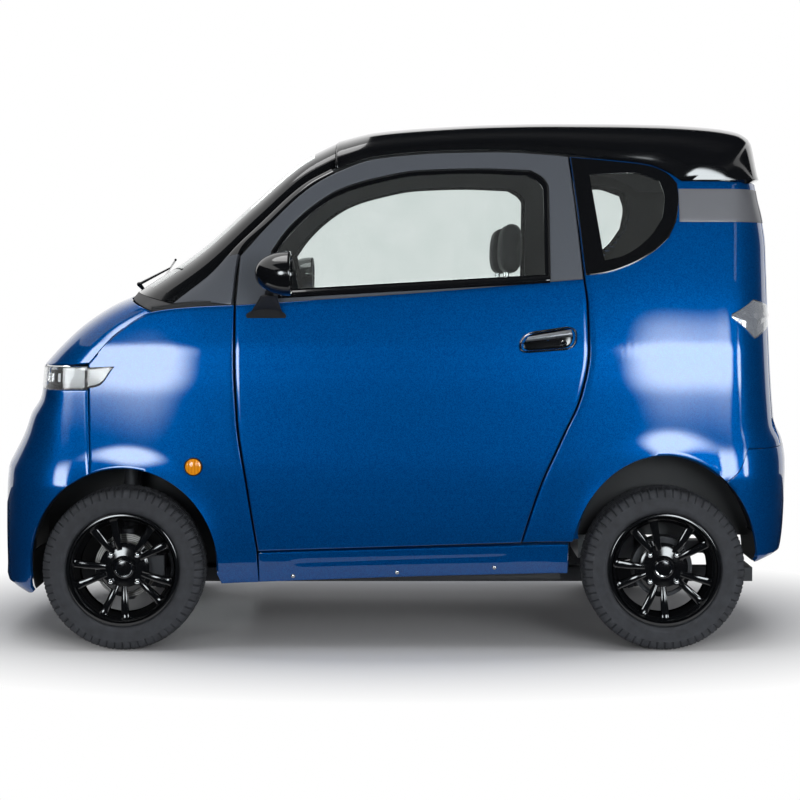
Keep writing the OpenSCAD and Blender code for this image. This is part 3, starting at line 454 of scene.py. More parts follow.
def rounded_box(low, high, bevel, segments=3):
    """Points and faces of a box with rounded edges."""
    made = bmesh.new()
    bmesh.ops.create_cube(made, size=1)
    for v in made.verts:
        v.co = [low[k] + (high[k] - low[k]) * (v.co[k] + 0.5) for k in range(3)]
    bmesh.ops.bevel(made, geom=made.edges[:], offset=bevel, segments=segments, profile=0.5, affect="EDGES")
    made.verts.index_update()
    points = np.array([v.co[:] for v in made.verts])
    faces = [tuple(v.index for v in f.verts) for f in made.faces]
    made.free()
    return points, faces


def linear(hex_colour):
    """Linear RGBA of an sRGB hex value."""
    parts = [int(hex_colour[i:i + 2], 16) / 255 for i in (1, 3, 5)]
    return [c / 12.92 if c <= 0.04045 else ((c + 0.055) / 1.055) ** 2.4 for c in parts] + [1.0]


def add(tree, kind, inputs=None, into=None, **settings):
    """Add a shader node; inputs are values or sockets by name or number, into links its outputs onward."""
    made = tree.nodes.new("ShaderNode" + kind)
    for key, value in settings.items():
        setattr(made, key, value)
    for key, value in (inputs or {}).items():
        if isinstance(value, bpy.types.NodeSocket):
            tree.links.new(value, made.inputs[key])
        else:
            made.inputs[key].default_value = value
    for key, socket in (into or {}).items():
        tree.links.new(made.outputs[key], socket)
    return made


def material(name, **inputs):
    """New material with one Principled surface; inputs are that shader's plain values."""
    made = bpy.data.materials.new(name)
    made.use_nodes = True
    tree = made.node_tree
    tree.nodes.clear()
    surface = add(tree, "BsdfPrincipled", {key.replace("_", " "): value for key, value in inputs.items()})
    add(tree, "OutputMaterial", {"Surface": surface.outputs[0]})
    made.diffuse_color = surface.inputs["Base Color"].default_value
    return made, tree, surface


def metallic_paint():
    """Metallic enamel under clear lacquer: flakes glint, the lacquer mirrors the room."""
    made, tree, surface = material("metallic_enamel", Metallic=0.6, Roughness=0.36, Specular_IOR_Level=0.0,
                                   Coat_Weight=1.0, Coat_Roughness=0.02, Coat_IOR=1.55)
    place = add(tree, "TexCoord")
    # Flakes are 0.05 mm across; drawn 2 mm across so that they show in the render
    flakes = add(tree, "TexVoronoi", {"Vector": place.outputs["Object"], "Scale": 1 / (2 * MM)})
    glint = add(tree, "MapRange", {"Value": flakes.outputs["Color"], 1: 0.2, 2: 1.0, 3: 0.0, 4: 0.5})
    add(tree, "Mix", {0: glint.outputs[0], 6: linear(colours().paint), 7: linear(colours().paint_flake)},
        {2: surface.inputs["Base Color"]}, data_type="RGBA")
    return made


def gloss_black(name="gloss_black_enamel", lighter="#0F1012"):
    """Gloss black enamel on moulded ABS: a faint orange peel bends its reflections."""
    made, tree, surface = material(name, Roughness=0.12, Coat_Weight=0.6, Coat_Roughness=0.03)
    place = add(tree, "TexCoord")
    # Orange peel has waves of about 8 mm
    peel = add(tree, "TexNoise", {"Vector": place.outputs["Object"], "Scale": 1 / (8 * MM), "Detail": 2.0})
    add(tree, "Bump", {"Height": peel.outputs[0], "Distance": 0.05 * MM, "Strength": 0.4},
        {0: surface.inputs["Normal"]})
    add(tree, "Mix", {0: peel.outputs[0], 6: linear(colours().roof), 7: linear(lighter)},
        {2: surface.inputs["Base Color"]}, data_type="RGBA")
    return made


def charcoal_satin(name, hex_colour, lighter):
    """Satin paint on pressed steel: an even low sheen with a fine spray texture."""
    made, tree, surface = material(name, Metallic=0.25, Roughness=0.42, Coat_Weight=0.15)
    place = add(tree, "TexCoord")
    # Spray grain of about 1.5 mm
    grain = add(tree, "TexNoise", {"Vector": place.outputs["Object"], "Scale": 1 / (1.5 * MM), "Detail": 3.0})
    add(tree, "Bump", {"Height": grain.outputs[0], "Distance": 0.04 * MM, "Strength": 0.5},
        {0: surface.inputs["Normal"]})
    add(tree, "Mix", {0: grain.outputs[0], 6: linear(hex_colour), 7: linear(lighter)},
        {2: surface.inputs["Base Color"]}, data_type="RGBA")
    return made


def clear_glass(name="toughened_glass", tint=None, paler="#F1F5F4"):
    """Toughened glass or hard clear plastic: mirror smooth, with a slight tint."""
    made, tree, surface = material(name, Roughness=0.0, IOR=1.45, Transmission_Weight=1.0)
    place = add(tree, "TexCoord")
    # A haze of dust and wiping, in patches of about 120 mm
    haze = add(tree, "TexNoise", {"Vector": place.outputs["Object"], "Scale": 1 / 0.12, "Detail": 3.0})
    add(tree, "Mix", {0: haze.outputs[0], 6: linear(tint or colours().glass), 7: linear(paler)},
        {2: surface.inputs["Base Color"]}, data_type="RGBA")
    return made


def clear_lens():
    """Moulded polycarbonate: clear and bright, with a faint flow pattern."""
    made, tree, surface = material("polycarbonate_lens", Roughness=0.02, IOR=1.5, Transmission_Weight=1.0)
    place = add(tree, "TexCoord")
    # Flow lines of about 40 mm
    flow = add(tree, "TexNoise", {"Vector": place.outputs["Object"], "Scale": 1 / (40 * MM), "Detail": 2.0})
    add(tree, "Mix", {0: flow.outputs[0], 6: linear("#EDF0F2"), 7: linear("#FFFFFF")},
        {2: surface.inputs["Base Color"]}, data_type="RGBA")
    return made


def coloured_lens(name, hex_colour, darker):
    """Dyed acrylic lens: bright and slightly translucent, with pillow ribs."""
    made, tree, surface = material(name, Roughness=0.14, IOR=1.49, Transmission_Weight=0.25, Coat_Weight=0.6)
    place = add(tree, "TexCoord")
    # Ribs about 10 mm apart
    ribs = add(tree, "TexWave", {"Vector": place.outputs["Object"], "Scale": WAVE / (9.8596 * MM)},
               bands_direction="X")
    add(tree, "Bump", {"Height": ribs.outputs[1], "Distance": 0.5 * MM, "Strength": 0.6},
        {0: surface.inputs["Normal"]})
    add(tree, "Mix", {0: ribs.outputs[1], 6: linear(darker), 7: linear(hex_colour)},
        {2: surface.inputs["Base Color"]}, data_type="RGBA")
    return made


def bright_metal(name, hex_colour, roughness, paler="#E6E8EA"):
    """Chromium plate or polished steel: bright, with faint smears."""
    made, tree, surface = material(name, Metallic=1.0, Roughness=roughness)
    place = add(tree, "TexCoord")
    smear = add(tree, "TexNoise", {"Vector": place.outputs["Object"], "Scale": 1 / (30 * MM), "Detail": 4.0})
    add(tree, "MapRange", {"Value": smear.outputs[0], 3: roughness * 0.7, 4: roughness * 1.5},
        {0: surface.inputs["Roughness"]})
    add(tree, "Mix", {0: smear.outputs[0], 6: linear(hex_colour), 7: linear(paler)},
        {2: surface.inputs["Base Color"]}, data_type="RGBA")
    return made


def grained_plastic(name, hex_colour, lighter, grain_mm=1.6):
    """Moulded polypropylene: leather-like grain breaks up its low shine."""
    made, tree, surface = material(name, Roughness=0.55)
    place = add(tree, "TexCoord")
    grain = add(tree, "TexVoronoi", {"Vector": place.outputs["Object"], "Scale": 1 / (grain_mm * MM)},
                feature="SMOOTH_F1")
    tone = add(tree, "TexNoise", {"Vector": place.outputs["Object"], "Scale": 1 / (60 * MM), "Detail": 3.0})
    add(tree, "Bump", {"Height": grain.outputs[0], "Distance": 0.12 * MM, "Strength": 0.6},
        {0: surface.inputs["Normal"]})
    add(tree, "Mix", {0: tone.outputs[0], 6: linear(hex_colour), 7: linear(lighter)},
        {2: surface.inputs["Base Color"]}, data_type="RGBA")
    return made


def coated_steel():
    """Dip-coated steel: satin black with runs and dust."""
    made, tree, surface = material("coated_steel", Metallic=0.2, Roughness=0.5)
    place = add(tree, "TexCoord")
    dust = add(tree, "TexNoise", {"Vector": place.outputs["Object"], "Scale": 1 / (40 * MM), "Detail": 6.0})
    add(tree, "MapRange", {"Value": dust.outputs[0], 3: 0.38, 4: 0.72}, {0: surface.inputs["Roughness"]})
    add(tree, "Bump", {"Height": dust.outputs[0], "Distance": 0.2 * MM, "Strength": 0.4},
        {0: surface.inputs["Normal"]})
    add(tree, "Mix", {0: dust.outputs[0], 6: linear(colours().steel), 7: linear("#3A3C40")},
        {2: surface.inputs["Base Color"]}, data_type="RGBA")
    return made


def cast_aluminium():
    """Sand-cast aluminium: dull grey with a coarse skin."""
    made, tree, surface = material("cast_aluminium", Metallic=0.9, Roughness=0.5)
    place = add(tree, "TexCoord")
    # Sand grains of 1.2 mm
    sand = add(tree, "TexNoise", {"Vector": place.outputs["Object"], "Scale": 1 / (1.2 * MM), "Detail": 2.0})
    add(tree, "Bump", {"Height": sand.outputs[0], "Distance": 0.25 * MM, "Strength": 0.6},
        {0: surface.inputs["Normal"]})
    add(tree, "Mix", {0: sand.outputs[0], 6: linear("#74777B"), 7: linear("#A2A5A9")},
        {2: surface.inputs["Base Color"]}, data_type="RGBA")
    return made


def turned_iron(centre):
    """Turned cast iron: bright rings left by the tool round the axle."""
    made, tree, surface = material("turned_iron_%+d" % round(centre[1] * 100), Metallic=1.0, Roughness=0.32)
    place = add(tree, "TexCoord")
    hub = add(tree, "Mapping", {"Vector": place.outputs["Object"], "Location": [-c for c in centre]})
    # Tool marks are under 1 mm apart; drawn about 6 mm apart so that they show
    rings = add(tree, "TexWave", {"Vector": hub.outputs[0], "Scale": WAVE / (5.91576 * MM), "Distortion": 0.4},
                wave_type="RINGS", rings_direction="Y")
    add(tree, "Bump", {"Height": rings.outputs[1], "Distance": 0.08 * MM, "Strength": 0.5},
        {0: surface.inputs["Normal"]})
    add(tree, "Mix", {0: rings.outputs[1], 6: linear("#6C6A68"), 7: linear("#A9A7A4")},
        {2: surface.inputs["Base Color"]}, data_type="RGBA")
    return made


def tyre_rubber():
    """Carbon-black rubber: matt, with a grey bloom and mould marks."""
    made, tree, surface = material("tyre_rubber", Roughness=0.68, Specular_IOR_Level=0.35)
    place = add(tree, "TexCoord")
    bloom = add(tree, "TexNoise", {"Vector": place.outputs["Object"], "Scale": 1 / (25 * MM), "Detail": 5.0})
    # Skin of about 1 mm
    fine = add(tree, "TexNoise", {"Vector": place.outputs["Object"], "Scale": 1 / (1 * MM), "Detail": 2.0})
    add(tree, "Bump", {"Height": fine.outputs[0], "Distance": 0.08 * MM, "Strength": 0.6},
        {0: surface.inputs["Normal"]})
    add(tree, "Mix", {0: bloom.outputs[0], 6: linear(colours().rubber), 7: linear("#3B3D42")},
        {2: surface.inputs["Base Color"]}, data_type="RGBA")
    return made


def woven_fabric():
    """Plain-woven polyester: crossing threads with painted shade between them, and a soft sheen."""
    made, tree, surface = material("woven_polyester", Roughness=0.92, Sheen_Weight=0.35, Sheen_Roughness=0.4)
    place = add(tree, "TexCoord")
    # Threads are 0.8 mm apart; drawn 2.5 mm apart at the usual pitch so that they show
    scale = WAVE / (0.628 * sizes().stitch_pitch)
    warp = add(tree, "TexWave", {"Vector": place.outputs["Object"], "Scale": scale}, bands_direction="Y")
    weft = add(tree, "TexWave", {"Vector": place.outputs["Object"], "Scale": scale}, bands_direction="Z")
    weave_and_shade = add(tree, "Math", {0: warp.outputs[1], 1: weft.outputs[1]}, operation="MULTIPLY")
    add(tree, "Bump", {"Height": weave_and_shade.outputs[0], "Distance": 0.5 * MM, "Strength": 0.7},
        {0: surface.inputs["Normal"]})
    # Painted shade: the colour is darker between the threads, where the weave is low, and lighter on the raised
    # crossings
    add(tree, "Mix", {0: weave_and_shade.outputs[0], 6: linear(colours().fabric), 7: linear("#34363B")},
        {2: surface.inputs["Base Color"]}, data_type="RGBA")
    return made


LOOKS = {}


def look(name):
    """Material by its short name, made once."""
    makers = {
        "paint": metallic_paint,
        "black": gloss_black,
        "charcoal": lambda: charcoal_satin("satin_charcoal", colours().frame, "#4E5259"),
        "band": lambda: charcoal_satin("satin_grey", colours().band, "#6B6D72"),
        "glass": clear_glass,
        "rim": lambda: gloss_black("gloss_black_lacquer", "#0C0D0F"),
        "dark_chrome": lambda: bright_metal("black_chromium", "#4A4C50", 0.12),
        "satin": lambda: bright_metal("satin_chromium", "#9A9DA3", 0.38, "#B4B7BC"),
        "silvered": lambda: bright_metal("silvered_reflector", "#6E727A", 0.14, "#7C8088"),
        "lens": clear_lens,
        "amber": lambda: coloured_lens("amber_acrylic", colours().lamp_amber, "#E08A10"),
        "chrome": lambda: bright_metal("chromium_plate", "#C9CCCF", 0.07),
        "plastic": lambda: grained_plastic("grained_plastic", colours().plastic, "#232427"),
        "trim": lambda: grained_plastic("door_card_plastic", "#2A2B2E", "#333539", 2.4),
        "seal": lambda: grained_plastic("rubber_seal", "#101113", "#18191B", 2.0),
        "steel": coated_steel,
        "aluminium": cast_aluminium,
        "rubber": tyre_rubber,
        "fabric": woven_fabric,
    }
    if name not in LOOKS:
        LOOKS[name] = makers[name]()
    return LOOKS[name]


# Outlines of the panels, columns: X and Z in mm from an axle
BELT = np.concatenate([from_front((352, 1080)), [[0.078, 1.118]], from_rear((-251, 1161))])
DOOR_FRONT_LOW = from_front((423, 310), (392, 510), (361, 725), (352, 927), (352, 1080))
DOOR_FRONT_HIGH = from_front((352, 1080), (364, 1233))
DOOR_TOP = from_front((364, 1233), (461, 1342), (592, 1460), (679, 1507), (788, 1544), (1006, 1563), (1171, 1566),
                      (1346, 1557), (1402, 1551))
DOOR_REAR_HIGH = from_rear((-290, 1551), (-272, 1390), (-251, 1161))
DOOR_REAR_LOW = from_rear((-449, 338), (-427, 410), (-390, 519), (-327, 659), (-265, 800), (-240, 940), (-242, 1082),
                          (-251, 1161))
# Window opening and the clear part of its glass: front edge up, top edge back, rear edge down, then forward
WINDOW = [from_front((484, 1112), (461, 1248)),
          from_front((461, 1248), (504, 1311), (592, 1395), (679, 1448), (788, 1482), (928, 1507), (1106, 1513),
                     (1281, 1507)),
          from_front((1281, 1507), (1321, 1482), (1337, 1451), (1337, 1161)),
          from_front((1337, 1161), (484, 1112))]
CLEAR = [from_front((498, 1128), (478, 1246)),
         from_front((478, 1246), (518, 1302), (602, 1382), (686, 1433), (792, 1466), (929, 1491), (1106, 1497),
                    (1268, 1491)),
         from_front((1268, 1491), (1306, 1468), (1321, 1443), (1321, 1175)),
         from_front((1321, 1175), (498, 1128))]
# Quarter glass and its clear part, in the same order
QUARTER_GLASS = [from_rear((-243, 1172), (-264, 1390), (-282, 1549)),
                 from_rear((-282, 1549), (-137, 1536), (-31, 1522), (27, 1496), (54, 1465)),
                 from_rear((54, 1465), (57, 1420), (50, 1357), (22, 1292)),
                 from_rear((22, 1292), (-31, 1245), (-112, 1202), (-184, 1180), (-243, 1172))]
QUARTER_CLEAR = [from_rear((-184, 1220), (-224, 1491)),
                 from_rear((-224, 1491), (-90, 1498), (-3, 1473)),
                 from_rear((-3, 1473), (12, 1420), (3, 1354)),
                 from_rear((3, 1354), (-41, 1292), (-137, 1230), (-184, 1220))]
SEAM_X = FX - 0.107
LAMP_LOW_Z, LAMP_HIGH_Z = 0.815, 0.887
HOOD_SEAM = from_front((-107, 895), (-20, 990), (87, 1058), (220, 1074), (346, 1080))
HOOD_MID = from_front((-302, 888), (-250, 945), (-165, 1022), (-60, 1088), (-12, 1108))
SCREEN_EDGE = from_front((150, 1084), (300, 1205), (440, 1345), (570, 1462), (656, 1510))
SCREEN_MID = from_front((0, 1124), (190, 1250), (385, 1420), (560, 1568), (660, 1620))
PILLAR_EDGE = from_front((338, 1080), (356, 1239), (455, 1348), (588, 1467), (656, 1504))
PILLAR_WIDTH = 0.044
ROOF_EDGE = np.concatenate([from_front((661, 1512), (788, 1552), (1006, 1571), (1171, 1574)),
                            from_rear((-290, 1559), (-137, 1540), (-31, 1526), (30, 1500), (70, 1474), (190, 1476),
                                      (250, 1476))])
ROOF_MID = np.concatenate([from_front((661, 1622), (790, 1652), (1006, 1670), (1171, 1678)),
                           from_rear((-290, 1682), (-137, 1682), (30, 1680), (160, 1674), (300, 1656), (346, 1620),
                                     (360, 1482))])
TAIL_SEAM = REAR_CORNER + WRAP * 0.5
BUMPER_TOP = 0.630
GATE_GAP = 0.015
ARCH_SEAM, BUMPER_ANGLE = 110, 50


def outline(parts, counts):
    """Closed outline from edges that meet, with a count of points for each."""
    return np.concatenate([curve(p, n)[:-1] for p, n in zip(parts, counts)])


def once(side, node):
    """The node that a left and a right piece stand for together, named by the left one."""
    return [node] if side == "left" else ()


def hood_edge(n):
    """Left edge of the hood, on the fender's seam."""
    points = curve(HOOD_SEAM[:3], n)
    return on_side(points, 0.001) + (0, 0, 0.0008)


class SCOOTER_OT_body_panels(bpy.types.Operator):
    """Painted fenders, bumpers, hood, quarters and sills"""

    bl_idname = "scooter.body_panels"
    bl_label = "Body Panels"

    def execute(self, context):
        looks = [look("paint"), look("plastic")]
        self.fenders(looks)
        self.bumpers(looks)
        self.quarters(looks)
        self.sills(looks)
        edge, mid = hood_edge(40), curve(HOOD_MID, 40)
        panel("hood_skin", bridge(edge, mid, ACROSS), SKIN_THICK, "root", "body_paint", looks, replaces=["hood"])
        return {"FINISHED"}

    def fenders(self, looks):
        """Front fender from the bumper's seam to the door."""
        foot = from_front((306, 204), (422, 208))
        edge = arch(FX, FRONT_ARCH, ARCH_SEAM, -5, 66)
        low = joined(edge, straight(edge[-1], foot[0], 2), straight(foot[0], foot[1], 3))
        high = curve(HOOD_SEAM, len(low) - 1)
        seam = DOOR_FRONT_LOW - (DOOR_GAP, 0)
        right = joined(straight(foot[1], seam[0], 6), curve(seam, 42))
        right[-1] = high[-1]
        left = straight(low[0], high[0], len(right) - 1)
        grid = skin(patch(low, high, left, right))
        for side, mirror in SIDES:
            panel("fender_skin_" + side, grid, SKIN_THICK, "root", "body_paint", looks, mirror=mirror,
                  replaces=["fender_" + side])

    def bumpers(self, looks):
        """Front and rear bumpers round the nose and the tail."""
        edge = arch(FX, FRONT_ARCH, 186, ARCH_SEAM, 30)
        edge = np.stack([nose_s_of(edge[:, 0], edge[:, 1]), edge[:, 1]], 1) - (0.0006, 0)
        chin = np.array([(NOSE_S, 0.156), ((NOSE_S + edge[0, 0]) / 2, 0.156), (edge[0, 0] - 0.03, 0.170), edge[0]])
        low = joined(curve(chin, 30), edge)
        lip = FRONT_CORNER - WRAP * 0.62
        high = joined(straight((NOSE_S, LAMP_HIGH_Z), (lip - 0.04, LAMP_HIGH_Z), 20),
                      straight((lip - 0.04, LAMP_HIGH_Z), (lip, LAMP_LOW_Z + 0.006), 6),
                      curve([(lip, LAMP_LOW_Z + 0.006), ((lip + SEAM_X) / 2, LAMP_LOW_Z),
                             (SEAM_X - 0.0006, LAMP_LOW_Z)], 34))
        half = skin(between(low, high, 44))
        whole = np.concatenate([flipped(half[:0:-1]), half])
        panel("front_bumper_skin", whole, SKIN_THICK, "root", "body_paint", looks, replaces=["front_bumper"])
        edge = arch(RX, REAR_ARCH, 6, BUMPER_ANGLE, 30)
        left = np.stack([tail_s_of(edge[:, 0], edge[:, 1]), edge[:, 1]], 1)
        low = curve([left[0], left[0] + (0.06, 0) + (0, 0.268 - left[0, 1]), ((left[0, 0] + TAIL_S) / 2, 0.268),
                     (TAIL_S, 0.268)], 50)
        high = joined(self.bumper_seam(left[-1], 30), straight((TAIL_SEAM, BUMPER_TOP), (TAIL_S, BUMPER_TOP), 20))
        right = straight(low[-1], high[-1], 30)
        half = skin(patch(low, high, left, right))
        whole = np.concatenate([half, flipped(half[-2::-1])])
        panel("rear_bumper_skin", whole, SKIN_THICK, "root", "body_paint", looks, replaces=["rear_bumper"])

    def bumper_seam(self, start, n):
        """Seam between the rear bumper and a quarter, from the arch to the tailgate."""
        return curve([start, start + (0.04, 0.04), (start[0] + 0.08, BUMPER_TOP), (TAIL_SEAM, BUMPER_TOP)], n)

    def quarters(self, looks):
        """Rear quarter with its window cut out, and the grey band below the roof."""
        front = joined(curve(DOOR_REAR_LOW + (DOOR_GAP, 0), 44), curve(DOOR_REAR_HIGH[::-1] + (DOOR_GAP, 0), 22))
        edge = arch(RX, REAR_ARCH, 166, BUMPER_ANGLE, 72)
        edge = np.stack([tail_s_of(edge[:, 0], edge[:, 1]), edge[:, 1]], 1)
        low = joined(straight(front[0], edge[0], 4), edge, self.bumper_seam(edge[-1], 24)) + (0, 0.001)
        low[0] = front[0]
        top = np.concatenate([[front[-1]], ROOF_EDGE[5:9] - (0, 0.0008)])
        high = joined(curve(top, 34), straight(top[-1], (TAIL_SEAM, 1.471), len(low) - 35))
        rear = straight(low[-1], high[-1], len(front) - 1)
        flat = patch(low, high, front, rear)
        hole = outline(QUARTER_CLEAR, (12, 12, 12, 12))
        hole = hole + (hole - hole.mean(0)) * 0.16
        keep = self.outside(hole)
        start = RX + 0.058
        strip = quad((start, BAND_LOW), (TAIL_SEAM, BAND_LOW), (start, BAND_HIGH), (TAIL_SEAM, BAND_HIGH), 40, 8)
        for side, mirror in SIDES:
            panel("quarter_skin_" + side, skin(flat), DEEP_THICK, "root", "body_paint", looks, mirror=mirror,
                  keep=keep, replaces=["quarter_" + side])
            panel("rear_band_" + side, skin(strip, -BAND_RISE), BAND_THICK, "root", "body_paint", [look("band")],
                  radius=0.0008, mirror=mirror)

    def outside(self, hole):
        """Test for cells of the left flank that lie outside an outline."""
        def test(points):
            x, z = points[..., 0], points[..., 2]
            inside = np.zeros(x.shape, bool)
            for (x0, z0), (x1, z1) in zip(hole, np.roll(hole, -1, 0)):
                crossing = (z0 > z) != (z1 > z)
                inside ^= crossing & (x < (x1 - x0) * (z - z0) / (z1 - z0 if z1 != z0 else 1e-9) + x0)
            return ~inside
        return test

    def sills(self, looks):
        """Sill under the door, with a pressed line and three bolts."""
        a, b = FX + 0.4228, RX - 0.302
        low = curve([(a, 0.208), (0, 0.224), (b, 0.238)], 60)
        high = straight((a, 0.304), (b, 0.332), 60)
        flat = between(low, high, 14)
        press = 0.0022 * np.exp(-((np.linspace(0, 1, 15)[None, :] - 0.62) / 0.07) ** 2)
        press = press * smooth(flat[..., 0], [(a, 0), (a + 0.1, 0), (a + 0.14, 1), (b - 0.20, 1), (b - 0.16, 0),
                                              (b, 0)])
        grid = skin(flat, 0.004 + press)
        for side, mirror in SIDES:
            panel("sill_skin_" + side, grid, DEEP_THICK, "root", "body_paint", looks, mirror=mirror,
                  replaces=once(side, "sills"))
            bolts = []
            for x, z in ((-0.320, 0.229), (0.007, 0.241), (0.312, 0.257)):
                at = skin(np.array([x, z]), 0.004)
                bolts.append(turned([(0, 0.004), (0.003, 0.004), (0.0052, 0.0028), (0.0066, 0.001), (0.0066, -0.002),
                                     (0, -0.002)], 16, at, mirror))
            piece("sill_bolts_" + side, *together(*bolts), "root", "chassis_steel", [look("chrome")])


class SCOOTER_OT_door_seals(bpy.types.Operator):
    """Black rubber behind the gaps round the doors, under the pillars and under the roof"""

    bl_idname = "scooter.door_seals"
    bl_label = "Door Seals"

    def execute(self, context):
        edges = [joined(curve(DOOR_FRONT_LOW, 60), curve(DOOR_FRONT_HIGH, 16)), curve(DOOR_TOP, 48),
                 joined(curve(DOOR_REAR_HIGH, 30), curve(DOOR_REAR_LOW[::-1], 60)),
                 straight(DOOR_REAR_LOW[0], DOOR_FRONT_LOW[0], 60)]
        rim = np.concatenate([e[:-1] for e in edges])
        way = np.roll(rim, -1, 0) - np.roll(rim, 1, 0)
        out = np.stack([-way[:, 1], way[:, 0]], 1) / np.linalg.norm(way, axis=1, keepdims=True)
        strip = ring(rim + out * 0.0018, rim + out * 0.016, 3)
        foot = curve(HOOD_SEAM[2:], 40)
        sill = np.stack([foot - (0, 0.014), foot, foot + (0, 0.016)], 1)
        seam = curve(ROOF_EDGE[4:10], 60)
        head = np.stack([seam - (0, 0.016), seam, seam + (0, 0.014)], 1)
        for side, mirror in SIDES:
            for name, grid, depth, thickness, loop in (("roof_seal_", head, 0.027, 0.003, False),
                                                       ("door_seal_", strip, 0.028, 0.003, True),
                                                       ("pillar_seal_", sill, 0.014, 0.004, False)):
                panel(name + side, skin(grid, depth), thickness, "root", "black_plastic", [look("seal")],
                      radius=SEAL_ROLL, loop=loop, mirror=mirror)
        return {"FINISHED"}


class SCOOTER_OT_doors(bpy.types.Operator):
    """Doors with painted skins, charcoal window frames, glass and mouldings"""

    bl_idname = "scooter.doors"
    bl_label = "Doors"

    def execute(self, context):
        for side, mirror in SIDES:
            self.door(side, mirror)
        return {"FINISHED"}

    def door(self, side, mirror):
        """One door, from the left one's outlines."""
        body = side + "_door"
        low = straight(DOOR_FRONT_LOW[0], DOOR_REAR_LOW[0], 72)
        grid = skin(patch(low, curve(BELT, 72), curve(DOOR_FRONT_LOW, 54), curve(DOOR_REAR_LOW, 54)))
        panel("door_skin_" + side, grid, 0.042, body, "body_paint", [look("paint"), look("trim")], mirror=mirror,
              replaces=["door_" + side])
        counts = (16, 48, 30, 40)
        outer, window, clear = (outline(parts, counts) for parts in (
            (DOOR_FRONT_HIGH, DOOR_TOP, DOOR_REAR_HIGH, BELT[::-1]), WINDOW, CLEAR))
        frame = skin(ring(window, outer, 10))
        panel("window_frame_" + side, frame, 0.032, body, "gloss_black", [look("charcoal"), look("trim")], loop=True,
              mirror=mirror)
        # Glass: a black printed border round the clear pane
        border = skin(ring(clear, window, 6), 0.006)
        panel("window_border_" + side, border, BORDER_THICK, body, "glass", [look("black")], radius=SEAL_ROLL,
              loop=True, mirror=mirror)
        pane = patch(curve(CLEAR[3][::-1], 40), curve(CLEAR[1], 40), curve(CLEAR[0], 24), curve(CLEAR[2][::-1], 24))
        panel("window_pane_" + side, skin(pane, 0.0062), PANE_THICK, body, "glass", [look("glass")], radius=0,
              mirror=mirror, replaces=["door_glass_" + side])
        seal = ring(window + (window - window.mean(0)) * -0.012, window + (window - window.mean(0)) * 0.012, 4)
        bead = np.array([0.006, 0.001, -0.0015, 0.001, 0.004])[None, :]
        panel("window_seal_" + side, skin(seal, bead), 0.006, body, "black_plastic", [look("seal")], radius=0,
              loop=True, mirror=mirror)
        a, b = WINDOW[3][1], WINDOW[3][0]
        below, above = np.array([0, 0.012]), np.array([0, 0.010])
        strip = quad(a - below, b - below, a + above, b + above, 50, 6)
        swell = -0.005 * np.sin(np.linspace(0, math.pi, 7))[None, :]
        panel("belt_moulding_" + side, skin(strip, swell), 0.006, body, "black_plastic", [look("black")],
              radius=0.0008, mirror=mirror)


class SCOOTER_OT_tailgate(bpy.types.Operator):
    """Tailgate with its window and grey band"""

    bl_idname = "scooter.tailgate"
    bl_label = "Tailgate"

    def execute(self, context):
        half = TAIL_S - TAIL_SEAM - GATE_GAP
        low, high, width = 0.636, 1.469, 0.295
        sill, lintel = 1.172, 1.416
        border = 0.03
        w, z0, z1 = width - border, sill + border, lintel - border

        def frame(wide, bottom, top):
            return outline(([(-wide, bottom), (-wide, top)], [(-wide, top), (wide, top)], [(wide, top), (wide, bottom)],
                            [(wide, bottom), (-wide, bottom)]), (20, 40, 20, 40))
        inner, outer, edge = frame(width, sill, lintel), frame(half, low, high), frame(w, z0, z1)
        panel("tailgate_skin", self.tail(ring(inner, outer, 24)), DEEP_THICK, "rear_gate", "body_paint",
              [look("paint"), look("trim")], loop=True, replaces=["tailgate"])
        panel("tailgate_border", self.tail(ring(edge, inner, 4), 0.005), BORDER_THICK, "rear_gate", "glass",
              [look("black")], radius=SEAL_ROLL, loop=True)
        pane = quad((-w, z0), (w, z0), (-w, z1), (w, z1), 40, 16)
        panel("tailgate_pane", self.tail(pane, 0.0052), PANE_THICK, "rear_gate", "glass", [look("glass")], radius=0,
              replaces=["tailgate_glass"])
        for name, a, b in (("left", -half + 0.004, -width - 0.008), ("right", width + 0.008, half - 0.004)):
            strip = quad((a, BAND_LOW), (b, BAND_LOW), (a, BAND_HIGH), (b, BAND_HIGH), 16, 8)
            panel("gate_band_" + name, self.tail(strip, -BAND_RISE), BAND_THICK, "rear_gate", "body_paint",
                  [look("band")], radius=0.0008)
        return {"FINISHED"}

    def tail(self, grid, depth=0.0):
        """Skin counted from the middle of the tail, left below zero and right above it."""
        p = grid[..., 0]
        points = skin(np.stack([TAIL_S - np.abs(p), grid[..., 1]], -1), depth)
        return np.where((p > 0)[..., None], flipped(points), points)


